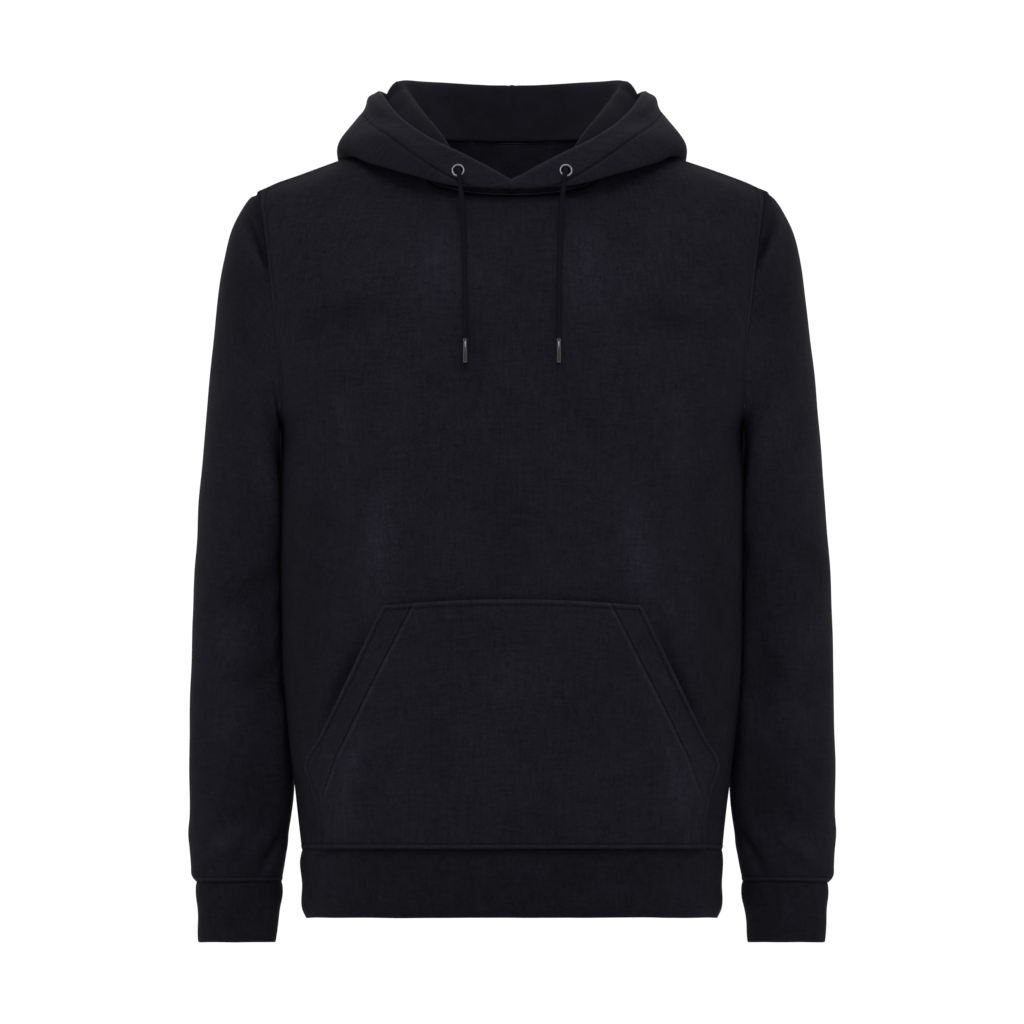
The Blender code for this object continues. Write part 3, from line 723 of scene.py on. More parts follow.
def knit_material(name, colour, rib=0.0):
    """Brushed knit: faint ridges up and across it, a short nap, and cloudy wash marks.

    The attribute "painted_shading" holds painted light and shade. It lightens the colour as painted
    highlights on raised edges and ridges, and darkens it as painted shade in seams, troughs and hollows.
    """
    made, tree, shader = new_material(name, colour, 0.95, specular=0.07)
    cloth = add_node(tree, "ShaderNodeUVMap", uv_map="cloth").outputs["UV"]
    place = add_node(tree, "ShaderNodeTexCoord").outputs["Object"]
    wales = rows_of_loops(tree, cloth, "X", 1.2 * MM, 0.6)
    courses = rows_of_loops(tree, cloth, "Y", 1.0 * MM, 0.8)
    nap = noise(tree, place, 900.0, 3.0, 0.6)
    grain = noise(tree, place, 520.0, 2.0, 0.6)
    patches = noise(tree, place, 120.0, 3.0, 0.6)
    clouds = noise(tree, place, 26.0, 2.0, 0.6)
    wale_streaks = noise(tree, cloth, 330.0, 2.0, 0.6, (1.0, 0.13, 1.0))
    course_streaks = noise(tree, cloth, 330.0, 2.0, 0.6, (0.15, 1.0, 1.0))

    fine = mixed(tree, grain, mixed(tree, wale_streaks, course_streaks, 0.45), 0.52)
    shade = mixed(tree, fine, mixed(tree, patches, clouds, 0.5), 0.25)
    spread = mapped(tree, shade, from_min=0.38, from_max=0.62)
    # painted light and shade: the colour is scaled from 0.1 to 1.9 times by it
    shading = add_node(tree, "ShaderNodeAttribute", attribute_name="painted_shading").outputs["Fac"]
    shaded_colour = add_node(tree, "ShaderNodeVectorMath", operation="SCALE")
    tree.links.new(colour_range(tree, spread, colour, 0.55, 1.45), shaded_colour.inputs[0])
    tree.links.new(mapped(tree, shading, from_min=-1.0, to_min=0.1, to_max=1.9), shaded_colour.inputs["Scale"])
    tree.links.new(shaded_colour.outputs["Vector"], shader.inputs["Base Color"])

    relief = mixed(tree, mixed(tree, wales, courses, 0.4), nap, 0.62)
    normal = bumps(tree, relief, 0.35, 0.35 * MM)
    if rib:
        normal = bumps(tree, rows_of_loops(tree, cloth, "X", rib, 0.25), 0.5, 0.35 * MM, under=normal)
    tree.links.new(normal, shader.inputs["Normal"])
    return made


def nap_material(name, colour):
    """The brushed inside of the knit: loose fibres and no visible rows."""
    made, tree, shader = new_material(name, colour, 1.0, specular=0.05)
    place = add_node(tree, "ShaderNodeTexCoord").outputs["Object"]
    fibre = noise(tree, place, 520.0, 4.0, 0.7)
    cloud = noise(tree, place, 60.0, 2.0, 0.5)
    tree.links.new(colour_range(tree, mixed(tree, fibre, cloud, 0.35), colour, 0.1, 1.9),
                   shader.inputs["Base Color"])
    tree.links.new(bumps(tree, fibre, 0.5, 0.5 * MM), shader.inputs["Normal"])
    return made


def cord_material(name, colour):
    """Braided cotton, matte and with fine fibres."""
    made, tree, shader = new_material(name, colour, 0.9, specular=0.03)
    fibre = noise(tree, add_node(tree, "ShaderNodeTexCoord").outputs["Object"], 1400.0, 3.0, 0.6)
    tree.links.new(colour_range(tree, fibre, colour, 0.75, 1.3), shader.inputs["Base Color"])
    tree.links.new(bumps(tree, fibre, 0.4, 0.15 * MM), shader.inputs["Normal"])
    return made


def metal_material(name, colour):
    """Gunmetal plating with faint rubbed marks."""
    made, tree, shader = new_material(name, colour, 0.25, metallic=1.0)
    marks = noise(tree, add_node(tree, "ShaderNodeTexCoord").outputs["Object"], 700.0, 4.0, 0.6)
    tree.links.new(mapped(tree, marks, to_min=0.14, to_max=0.30), shader.inputs["Roughness"])
    tree.links.new(colour_range(tree, marks, colour, 0.85, 1.1), shader.inputs["Base Color"])
    return made


def materials():
    """The garment's materials, made once."""
    colours = bpy.context.scene.hoodie_colours
    makers = {
        "fleece_face": lambda name: knit_material(name, colours.fleece),
        "band_knit": lambda name: knit_material(name, colours.band, rib=2.6 * MM),
        "fleece_inside": lambda name: nap_material(name, colours.inside),
        "hood_inside": lambda name: nap_material(name, colours.hood_inside),
        "sewing_thread": lambda name: cord_material(name, colours.thread),
        "braided_cord": lambda name: cord_material(name, colours.cord),
        "gunmetal": lambda name: metal_material(name, colours.metal),
        "dark_gunmetal": lambda name: metal_material(name, colours.tip_metal),
    }
    return {name: bpy.data.materials.get(name) or make(name) for name, make in makers.items()}


def finish_piece(made, *nodes, slot):
    """Lets a finished piece ride on the garment and stand for its CAD nodes."""
    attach(made, "root")
    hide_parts(*nodes)


def finish_cloth(made, node):
    """The same for cloth."""
    finish_piece(made, node, slot="fleece")


# ================================================================ stitching
def stitch_shape():
    """One stitch along X, modelled once: a short hexagonal thread with rounded ends."""
    cloth = bpy.context.scene.hoodie_cloth
    bpy.ops.object.select_all(action="DESELECT")
    bpy.ops.mesh.primitive_cylinder_add(vertices=6, radius=cloth.thread_radius,
                                        depth=cloth.stitch_length, rotation=(0, math.pi / 2, 0))
    made = bpy.context.active_object
    bpy.ops.object.mode_set(mode="EDIT")
    bpy.ops.mesh.select_all(action="SELECT")
    shape = bmesh.from_edit_mesh(made.data)
    for edge in shape.edges:
        edge.select_set(all(face.select for face in edge.link_faces) and
                        any(len(face.verts) == 6 for face in edge.link_faces))
    shape.select_flush_mode()
    for face in shape.faces:
        face.select_set(len(face.verts) == 6)
    bmesh.update_edit_mesh(made.data)
    bpy.ops.mesh.bevel(offset=cloth.thread_radius * 0.6, segments=1)
    bpy.ops.object.mode_set(mode="OBJECT")
    bpy.ops.object.transform_apply(location=True, rotation=True, scale=True)
    points = np.array([vert.co[:] for vert in made.data.vertices])
    faces = [tuple(face.vertices) for face in made.data.polygons]
    bpy.data.objects.remove(made)
    return points, faces


def stitch_rows(name, lines):
    """Copies the stitch along lines of points and outward directions, as one mesh."""
    cloth = bpy.context.scene.hoodie_cloth
    shape, faces = stitch_shape()
    points, polygons = [], []
    for line, outward in lines:
        place = run_lengths(line)
        count = int(place[-1] / cloth.stitch_pitch)
        for middle in (np.arange(count) + 0.5) * place[-1] / max(count, 1):
            reach = cloth.stitch_length / 2
            ends = [np.array(read_at(at, place, line)) for at in (middle - reach, middle + reach)]
            up = np.array(read_at(middle, place, outward))
            centre = np.array(read_at(middle, place, line))
            along = (ends[1] - ends[0]) / np.linalg.norm(ends[1] - ends[0])
            side = np.cross(up, along)
            side /= np.linalg.norm(side)
            up = np.cross(along, side)
            turned = shape @ np.array((along, side, up))
            base = len(points) * len(shape)
            points.append(turned + centre + up * cloth.thread_radius * 0.35)
            polygons += [tuple(base + vert for vert in face) for face in faces]
    made = smooth_object(name, np.concatenate(points), polygons)
    made.data.materials.append(materials()["sewing_thread"])
    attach(made, "root")


def cut_line(line, keep):
    """The longest unbroken part of a line of points that a test keeps."""
    points, outward = line
    kept = np.flatnonzero(keep(points))
    runs = np.split(kept, np.flatnonzero(np.diff(kept) > 1) + 1)
    run = max(runs, key=len)
    return points[run], outward[run]


# ================================================================ body
FRONT_FOLDS = {
    "start_across": (-131, 120, -156, 155, -75, 81, -218, 218, -195, 195, 0, -206, 204, -60, 48, -28),
    "start_up": (225, 225, 340, 340, 597, 597, 484, 478, 100, 96, 350, 330, 352, 500, 470, 300),
    "end_across": (-112, 99, -156, 155, -66, 70, -103, 96, -130, 131, 0, -150, 158, -30, 84, 36),
    "end_up": (349, 345, 436, 440, 480, 486, 498, 492, 215, 212, 230, 262, 280, 395, 372, 262),
    "bow": (4, -5, 2, -2, 5, -4, 6, -6, -3, 3, 0, 5, -6, 8, -6, 3),
    "width": (15, 14, 12, 12, 30, 28, 14, 13, 8, 8, 20, 16, 14, 18, 20, 16),
    "depth": (2.5, 2.4, 1.5, 1.4, 2.2, 2.0, -2.0, -1.8, -3.0, -2.8, -1.2, -1.3, -1.1, -0.9, -0.9, 0.8),
}
BACK_FOLDS = {
    "start_across": (-120, 130, -190, 196, -70, 62, -150, 160, -60, 70, 0, -205, 206),
    "start_up": (560, 552, 470, 462, 300, 320, 200, 190, 60, 80, 470, 340, 330),
    "end_across": (-60, 66, -90, 84, -40, 86, -120, 132, -96, 104, 10, -160, 150),
    "end_up": (470, 476, 440, 452, 130, 140, 60, 40, 190, 200, 330, 250, 262),
    "bow": (6, -8, 5, -6, 8, -9, 4, -3, -5, 6, 7, 6, -5),
    "width": (22, 26, 14, 15, 22, 20, 14, 13, 12, 13, 24, 13, 14),
    "depth": (2.0, 1.8, -2.0, -1.8, 1.6, 1.4, 1.8, 1.6, -1.4, -1.3, -1.5, -1.4, -1.5),
}
# Patches of painted light and shade on the front and back: distance from the middle, height, size and amount.
BODY_LIGHT_PATCHES = {
    "x": (120, 186, 110, 160, 160, 0),
    "z": (-405, -430, -120, -330, -60, -300),
    "wide": (15, 20, 50, 15, 60, 60),
    "high": (52, 120, 70, 50, 40, 90),
    "amount": (0.20, -0.32, 0.10, 0.12, 0.06, -0.05),
}
HEM_ROW = 4.5                       # rows of topstitching, in millimetres from their seams
NECK_ROW = 3.3
ARMHOLE_ROWS = (2.0, 8.0)
UNDERARM_Z = -0.240                 # where the armhole ends and the side seam begins
UNDERARM_STEP = 4 * MM              # half the height over which the one passes into the other
NECK_HALF_WIDTH = 0.092
NECK_STEP = 3 * MM
BODY_REACH = (0.6, 0.3)             # how far a panel reaches into the seams at its foot and top, in mm
BODY_UNEVEN = {"front": (11, 0.075), "back": (12, 0.075)}   # seed, and length of its waves
BODY_SMOOTHING = 12                 # rounds
SHOULDER_LIFT = 2.4 * MM            # lift of the cloth over the middle of the shoulder
SHOULDER_STARTS = (0.120, 0.165)    # distances from the middle over which it rises
SHOULDER_ENDS = (0.212, 0.236)      # and over which it falls again
SHOULDER_DEPTH = (5 * MM, 70 * MM)  # depths below the seam over which it dies out
SIDE_FOLDS = (0.35, 0.65)           # share of the folds left at a side, and the rest further in
SIDE_CALM = 25 * MM                 # distance from a side at which the folds are whole
SIDE_DIP = 0.4 * MM                 # how far the cloth dips into each seam
SHOULDER_DIP = 0.5 * MM
NECK_DIP = 0.3 * MM
ARMHOLE_DIP = 0.2 * MM
ARMHOLE_LIFT = 0.8 * MM             # lift by the sewn allowance beside the armhole
ARMHOLE_LIFT_WIDTH = (8 * MM, 13 * MM)      # distances from it over which the lift ends
ARMHOLE_LIFT_TOP = (6 * MM, 34 * MM)        # depths below the shoulder over which it begins
ARMPIT_BULGE = 1.6 * MM
# Painted light and shade along an edge: place and width in millimetres, and amount. Beside the armhole a
# painted highlight on the body's raised edge and painted shade beside its outer stitching; at the neck
# painted shade under the hood.
ARMHOLE_SHADE = ((1.5, 1.6, 1.3), (5, 2.4, 0.2), (9.2, 1.2, -0.25))
NECK_SHADE = ((0, 4.5, -0.85), (7.3, 0.9, -0.3))


class HOODIE_OT_body(bpy.types.Operator):
    """Front and back panels, with their folds, seams and topstitching"""
    bl_idname = "hoodie.body"
    bl_label = "Front and back"

    def execute(self, context):
        cloth = context.scene.hoodie_cloth
        finishes = materials()
        lines = []
        for face, folds in (("front", FRONT_FOLDS), ("back", BACK_FOLDS)):
            grid = read_grid("body_" + face, cloth.fleece_wall, BODY_AXIS, BODY_COLUMNS, False)
            if face == "back":
                grid = grid[:, ::-1]
            sheet = Sheet(grid, False, cloth.body_cell)
            sheet.relax(BODY_SMOOTHING)
            side = sheet.side_distance()
            below = sheet.height - sheet.up
            out = np.abs(sheet.points[..., 0])
            rise = smoothstep(*SHOULDER_STARTS, out) - smoothstep(*SHOULDER_ENDS, out)
            sheet.points[..., 2] += SHOULDER_LIFT * rise * (1 - smoothstep(*SHOULDER_DEPTH, below))
            sheet.widen(*BODY_REACH)
            heights = folds_and_painted_shading(sheet, folds, BODY_LIGHT_PATCHES, BODY_UNEVEN[face])
            z = sheet.points[..., 2]
            on_arm = smoothstep(UNDERARM_Z - UNDERARM_STEP, UNDERARM_Z + UNDERARM_STEP, z[:, :1])
            out = np.abs(sheet.points[..., 0])
            at_neck = 1 - smoothstep(NECK_HALF_WIDTH - NECK_STEP, NECK_HALF_WIDTH + NECK_STEP, out)
            heights *= SIDE_FOLDS[0] + SIDE_FOLDS[1] * smoothstep(0, SIDE_CALM, side)
            heights += seam_heights(side, SIDE_DIP) * (1 - on_arm)
            heights += ARMPIT_BULGE * near(z - UNDERARM_Z, -12, 22) * near(side, 0, 12)
            raised = ARMHOLE_LIFT * (1 - smoothstep(*ARMHOLE_LIFT_WIDTH, side))
            raised = raised * smoothstep(*ARMHOLE_LIFT_TOP, below)
            stitched = seam_heights(side, ARMHOLE_DIP, ARMHOLE_ROWS) * smoothstep(0, 16 * MM, below)
            heights += (stitched + raised) * on_arm
            heights += seam_heights(sheet.up, cloth.seam_dip, [HEM_ROW])
            heights += seam_heights(below, SHOULDER_DIP) * (1 - at_neck) * smoothstep(0, 9 * MM, side)
            heights += seam_heights(below, NECK_DIP, [NECK_ROW]) * at_neck
            sheet.push(heights)
            # painted highlight along the armhole, painted shade in the neck seam under the hood, and painted
            # light and shade beside the hem seam
            sheet.painted_shading += bands(side, ARMHOLE_SHADE) * on_arm + bands(below, NECK_SHADE) * at_neck
            sheet.painted_shading += seam_painted_shading(sheet.up)
            lines.append(sheet.row_line(HEM_ROW * MM))
            lines.append(cut_line(sheet.row_line(NECK_ROW * MM, from_top=True),
                                  lambda points: np.abs(points[:, 0]) < NECK_HALF_WIDTH - 9 * MM))
            for row in ARMHOLE_ROWS:
                for end in (-1, 1):
                    lines.append(cut_line(sheet.column_line(row * MM, end),
                                          lambda points: points[:, 2] > UNDERARM_Z + 5 * MM))
            made = sheet_mesh(face + "_panel", sheet)
            give_wall(made, cloth.fleece_wall, finishes["fleece_face"], finishes["fleece_inside"])
            finish_cloth(made, "body_" + face)
        stitch_rows("body_topstitching", lines)
        return {"FINISHED"}


# ================================================================ hem band and cuffs
# CAD node: its middle seen from above, columns, name, seed and wave length of its unevenness,
# and what it hangs from.
BANDS = {
    "hem_band": (BODY_AXIS, 44, "hem_band_cloth", (21, 0.055), "body_front"),
    "cuff_left": ((0.250, 0.022), 16, "cuff_cloth_left", (22, 0.03), "sleeve_left"),
    "cuff_right": ((-0.250, 0.022), 16, "cuff_cloth_right", (22, 0.03), "sleeve_right"),
}
BAND_REACH = (0.0, 0.3)             # at its foot and top, in millimetres
BAND_DIP = 0.1 * MM
BAND_SWELL = 0.1                    # in millimetres
# Painted light and shade along an edge: place and width in millimetres, and amount.
BAND_TOP_SHADE = ((3.0, 1.6, 0.12), (0, 0.9, -0.4))
BAND_FOOT_SHADE = ((0, 1.4, 0.35),)
HEM_ENDS = (0.13, 0.19)             # distances from the middle over which the hem band is painted lighter
# amount of painted light at the hem band's ends
HEM_ENDS_SHADE = 0.32


class HOODIE_OT_bands(bpy.types.Operator):
    """Folded hem band and the two cuffs, each one closed double layer"""
    bl_idname = "hoodie.bands"
    bl_label = "Hem band and cuffs"

    def execute(self, context):
        cloth = context.scene.hoodie_cloth
        for node, (axis, columns, name, unevenness, held_by) in BANDS.items():
            grid = read_grid(node, cloth.band_wall, axis, columns, True)
            start = columns // 4 if axis[0] > 0 else -columns // 4
            sheet = Sheet(np.roll(grid, start, axis=1), True, cloth.small_cell)
            sheet.widen(*BAND_REACH)
            below = sheet.height - sheet.up
            heights = ripple(sheet.points, *unevenness) * smoothstep(0, 14 * MM, below)
            heights += seam_heights(below, BAND_DIP, swell=BAND_SWELL)
            sheet.push(heights)
            # painted shade in the seam at the top, a painted highlight on the folded foot, and painted light
            # at the hem band's ends
            sheet.painted_shading += bands(below, BAND_TOP_SHADE) + bands(sheet.up, BAND_FOOT_SHADE)
            if node == "hem_band":
                sheet.painted_shading += HEM_ENDS_SHADE * smoothstep(*HEM_ENDS, np.abs(sheet.points[..., 0]))
            sheet.turn_in("bottom", cloth.band_wall / 2, float(sheet.height.min()))
            made = sheet_mesh(name, sheet, folded=True)
            made.data.materials.append(materials()["band_knit"])
            finish_cloth(made, node)
        return {"FINISHED"}


# ================================================================ pocket
POCKET_FOLDS = {
    "start_across": (-131, 131, -40, 26, -86, 78, 4),
    "start_up": (132, 132, 14, 12, 150, 158, 190),
    "end_across": (-163, 164, -34, 30, -60, 92, -6),
    "end_up": (17, 17, 60, 46, 60, 70, 120),
    "bow": (-5, 5, 2, -2, 5, -5, 3),
    "width": (10, 10, 8, 7, 18, 17, 20),
    "depth": (2.4, 2.3, -0.7, -0.6, -1.0, -0.9, 0.6),
}
# Patches of painted light and shade on the pocket.
POCKET_LIGHT_PATCHES = {
    "x": (160, 60, 0),
    "z": (-590, -560, -620),
    "wide": (14, 60, 80),
    "high": (42, 60, 30),
    "amount": (0.22, 0.04, -0.08),
}
POCKET_COLUMNS = 17
POCKET_HEM_WIDTH = 0.0262           # folded hem of a hand opening, along the top edge
POCKET_LINE_END = (0.1880, 0.053)   # where its stitching meets the pocket's side: across and up
POCKET_LIFT = 1.1 * MM              # of its cloth outwards, off the surface that was read
POCKET_EDGE_ROW = 3.4               # topstitching of its top and sides, in millimetres
POCKET_ROLL = 1.55 * MM             # radius of its folded edges
POCKET_TURN_IN = 9 * MM             # width of what is folded in behind them
POCKET_EDGE_FOLDS = (0.3, 0.7)      # share of the folds left at an edge, and the rest further in
OPENING_ENDS = (58 * MM, 84 * MM)   # heights over which a side turns from sewn down to open
# share of the painted edge highlight where a side is sewn down, and the rest where it is open
OPENING_SHARE = (0.15, 0.85)
# Relief in millimetres, and painted light and shade, along an edge or along the line that stitches an
# opening's hem: place and width in millimetres, and amount. The painted light is a highlight on the folded
# edges and ridges; the painted shade lies along the stitching.
POCKET_EDGE_RELIEF = ((0, 1.8, 1.1), (POCKET_EDGE_ROW, 1.0, -0.5))
POCKET_EDGE_SHADE = ((0, 1.3, 0.6), (POCKET_EDGE_ROW, 0.9, -0.4))
OPENING_LINE_RELIEF = ((0, 1.5, -0.45), (-3.0, 1.9, 0.7))
OPENING_LINE_SHADE = ((-2.8, 1.9, 0.95), (2.6, 1.5, 0.25), (0, 1.5, -0.8))


class HOODIE_OT_pocket(bpy.types.Operator):
    """Kangaroo pocket with folded edges and its stitching"""
    bl_idname = "hoodie.pocket"
    bl_label = "Pocket"

    def execute(self, context):
        cloth = context.scene.hoodie_cloth
        finishes = materials()
        grid = read_grid("pocket", cloth.fleece_wall, BODY_AXIS, POCKET_COLUMNS, False)
        sheet = Sheet(grid, False, cloth.pocket_cell)
        side = sheet.side_distance()
        below = sheet.height - sheet.up
        border = np.minimum(side, below)
        heights = folds_and_painted_shading(sheet, POCKET_FOLDS, POCKET_LIGHT_PATCHES, (31, 0.07, 0.3 * MM))
        inside = smoothstep(0, 18 * MM, side) * smoothstep(0, 14 * MM, below)
        heights *= inside * POCKET_EDGE_FOLDS[1] + POCKET_EDGE_FOLDS[0]
        heights += POCKET_LIFT + seam_heights(sheet.up, cloth.seam_dip, [HEM_ROW])
        heights += bands(border, POCKET_EDGE_RELIEF) * MM
        opening = OPENING_SHARE[0] + OPENING_SHARE[1] * smoothstep(*OPENING_ENDS, sheet.up)
        # painted highlight on the folded edges and painted shade along their stitching
        sheet.painted_shading += bands(border, POCKET_EDGE_SHADE) * opening

        end_across, end_up = POCKET_LINE_END
        top = float(sheet.height.mean())
        reach = float(sheet.girth[-1, 0]) / 2 - POCKET_HEM_WIDTH
        slope = (end_across - reach) / (top - end_up)
        inner = np.abs(sheet.across) - (reach + slope * (top - sheet.up))
        above = smoothstep(end_up - 6 * MM, end_up + 2 * MM, sheet.up)
        heights += bands(inner, OPENING_LINE_RELIEF) * above * MM
        # painted light and shade beside the openings' stitching and beside the hem seam
        sheet.painted_shading += bands(inner, OPENING_LINE_SHADE) * above + seam_painted_shading(sheet.up)
        sheet.push(heights)

        lines = [sheet.row_line(HEM_ROW * MM), sheet.row_line(POCKET_EDGE_ROW * MM, from_top=True)]
        for end in (-1, 1):
            lines.append(sheet.column_line(POCKET_EDGE_ROW * MM, end))
            lines.append(sheet.drawn_line((end * reach, top - 4 * MM), (end * end_across, end_up)))
        for edge in ("first", "last", "top"):
            sheet.turn_in(edge, POCKET_ROLL, POCKET_TURN_IN)
        made = sheet_mesh("pocket_cloth", sheet)
        open_corners(made, sheet, POCKET_TURN_IN)
        give_wall(made, cloth.pocket_wall, finishes["fleece_face"], finishes["fleece_inside"])
        finish_cloth(made, "pocket")
        stitch_rows("pocket_topstitching", lines)
        return {"FINISHED"}


# ================================================================ sleeves
# Across is measured from the inner line, over the front to the outer line and round the back
# on the wearer's left sleeve, and the other way round on the right one.
SLEEVE_FOLDS = {
    "start_across": (50, 62, 120, 150, 96, 180, 210, 150, 60, 130, 40, 250, 300, 20),
    "start_up": (60, 38, 120, 260, 330, 420, 240, 470, 250, 30, 180, 130, 320, 330),
    "end_across": (106, 118, 70, 96, 158, 130, 170, 90, 90, 180, 66, 220, 260, 70),
    "end_up": (6, 4, 190, 180, 250, 330, 150, 400, 160, 60, 110, 60, 230, 260),
    "bow": (5, -3, 8, -7, 9, -8, 8, 6, -6, 4, 5, 6, -7, 6),
    "width": (11, 8, 15, 14, 16, 17, 15, 18, 12, 10, 13, 15, 18, 14),
    "depth": (2.2, -1.4, 1.6, 1.4, -1.5, 1.5, -1.4, 1.4, -1.2, 1.2, 1.2, 1.4, 1.4, -1.4),
}
# Patches of painted light and shade on each sleeve: a strong painted light strip along its inner side, where
# it lies in shade beside the body.
SLEEVE_LIGHT_PATCHES = {
    "x": (208, 226, 250, 240, 250),
    "z": (-420, -250, -600, -420, -90),
    "wide": (13, 12, 34, 22, 40),
    "high": (230, 80, 90, 170, 70),
    "amount": (0.85, 0.35, -0.26, -0.14, -0.22),
}
# Short creases on the front of each sleeve, from the armhole down and from the inner line to
# the cuff: distance from the middle, and height.
SLEEVE_CREASES = {
    "start_x": (243, 249, 252, 205, 203, 214),
    "start_z": (-52, -53, -60, -610, -622, -600),
    "end_x": (222, 228, 238, 236, 232, 246),
    "end_z": (-105, -108, -118, -657, -666, -648),
    "width": (3.1, 3.4, 6.0, 3.2, 4.0, 7.0),
    "depth": (-2.9, 2.0, 0.8, -2.2, 1.4, 1.2),
}


SLEEVE_AXIS = (0.243, 0.03)         # middle of the left sleeve, seen from above
SLEEVE_COLUMNS = 16
SLEEVE_REACH = (1.1, 0.3)           # at its cuff and armhole, in millimetres
SLEEVE_TOP_FOLDS = (0.2, 0.8)       # share of the folds left at the armhole, and the rest further down
SHOULDER_CAP = (-0.085, -0.04)      # heights over which the sleeve becomes the cap at its top
CAP_RELIEF = ((2.5, 2.8, 1.2),)     # swell of the cap beside its seam: place, width, height in mm
CREASE_SHADE = 0.22                 # painted shade in a crease's trough and painted light on its ridge, for each millimetre of its relief
CREASE_SHADE_ENDS = (-0.5, 0.45)    # the darkest and the lightest a crease is painted


class HOODIE_OT_sleeves(bpy.types.Operator):
    """The two sleeves, hanging beside the body, with their creases and cuff stitching"""
    bl_idname = "hoodie.sleeves"
    bl_label = "Sleeves"

    def execute(self, context):
        cloth = context.scene.hoodie_cloth
        finishes = materials()
        lines = []
        for name, side in SIDES.items():
            node = "sleeve_" + name
            axis = (side * SLEEVE_AXIS[0], SLEEVE_AXIS[1])
            grid = read_grid(node, cloth.fleece_wall, axis, SLEEVE_COLUMNS, True)
            sheet = Sheet(np.roll(grid, side * SLEEVE_COLUMNS // 4, axis=1), True, cloth.small_cell)
            sheet.widen(*SLEEVE_REACH)
            below = sheet.height - sheet.up
            on_cap = smoothstep(*SHOULDER_CAP, sheet.points[..., 2])
            heights = folds_and_painted_shading(sheet, SLEEVE_FOLDS, SLEEVE_LIGHT_PATCHES, (41, 0.07), mirrored=side < 0)
            heights *= smoothstep(0, 30 * MM, below) * SLEEVE_TOP_FOLDS[1] + SLEEVE_TOP_FOLDS[0]
            heights += seam_heights(below, 0.3 * MM) * (1 - on_cap)
            heights += bands(below, CAP_RELIEF) * on_cap * MM
            creases = crease(sheet, SLEEVE_CREASES, side)
            heights += creases + seam_heights(sheet.up, cloth.seam_dip, [HEM_ROW])
            sheet.push(heights)
            # painted shade in the creases' troughs and painted light on their ridges; painted light and shade
            # beside the cuff seam and painted shade in the armhole seam
            sheet.painted_shading += np.clip(creases / MM * CREASE_SHADE, *CREASE_SHADE_ENDS)
            sheet.painted_shading += seam_painted_shading(sheet.up) - 0.35 * near(below, 0, 1.6) * (1 - on_cap)
            lines.append(sheet.row_line(HEM_ROW * MM))
            made = sheet_mesh(node + "_cloth", sheet)
            give_wall(made, cloth.fleece_wall, finishes["fleece_face"], finishes["fleece_inside"])
            finish_cloth(made, node)
        stitch_rows("cuff_topstitching", lines)
        return {"FINISHED"}


# ================================================================ eyelets, drawcord and tips
EYELET_X = 49.7
EYELET_Z = -9.7
EYELET_CUT = 4.4
# Turned sections, in millimetres: radius, and height along the axis.
EYELET_SECTION = ((6.0, 0.0), (6.1, 0.35), (5.95, 0.75), (5.55, 1.05), (5.1, 1.1), (4.65, 0.9),
                  (4.25, 0.4), (3.9, -0.4), (3.7, -1.2), (3.7, -2.1), (3.8, -2.6), (4.3, -2.85),
                  (5.0, -2.8), (5.0, -2.4), (4.3, -2.3), (4.1, -1.9), (4.1, -0.15))
TIP_SECTION = ((1.9, 0.5), (2.3, 0.5), (2.5, 0.2), (2.5, -1.4), (2.34, -1.7), (2.34, -2.3), (2.5, -2.6),
               (2.5, -20.3), (2.4, -21.1), (2.1, -21.7), (1.5, -22.0), (0.7, -22.1))
# Cord places out of the eyelet and over its lower edge, from the eyelet's centre.
CORD_START = {
    "x": (-0.1, -0.2, -0.6, -1.1, -1.6),
    "y": (1.0, -1.8, -5.6, -7.5, -7.6),
    "z": (0.4, 0.6, -0.6, -4.0, -8.6),
}
# Cord places down the front: height, and distance from the centre line.
CORD_HANG = {
    "height": (-26, -35, -48, -65, -85, -105, -125, -145, -165),
    "distance": (47.4, 46.2, 45.2, 44.4, 43.9, 43.5, 43.2, 43.1, 43.1),
}


def node_surface(node):
    return BVHTree.FromObject(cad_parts[node], bpy.context.evaluated_depsgraph_get())


def from_front(surface, x, z):
    """The point of a surface that faces the front at a place."""
    return surface.ray_cast(Vector((x, -1.0, z)), Vector((0, 1, 0)))[0]


def eyelet_place(side):
    """Centre and outward direction of an eyelet on the hood's cloth."""
    surface = node_surface("hood_" + ("left" if side > 0 else "right"))
    x, z, reach = side * EYELET_X * MM, EYELET_Z * MM, 6.5 * MM
    left, right = from_front(surface, x - reach, z), from_front(surface, x + reach, z)
    low, high = from_front(surface, x, z - reach), from_front(surface, x, z + reach)
    outward = (right - left).cross(high - low).normalized()
    return (left + right + low + high) / 4, outward


def place_turned(made, centre, axis):
    """Stands a turned piece on a place, with its axis along a direction."""
    turn = Vector((0, 0, 1)).rotation_difference(axis).to_matrix().to_4x4()
    made.data.transform(Matrix.Translation(centre) @ turn)


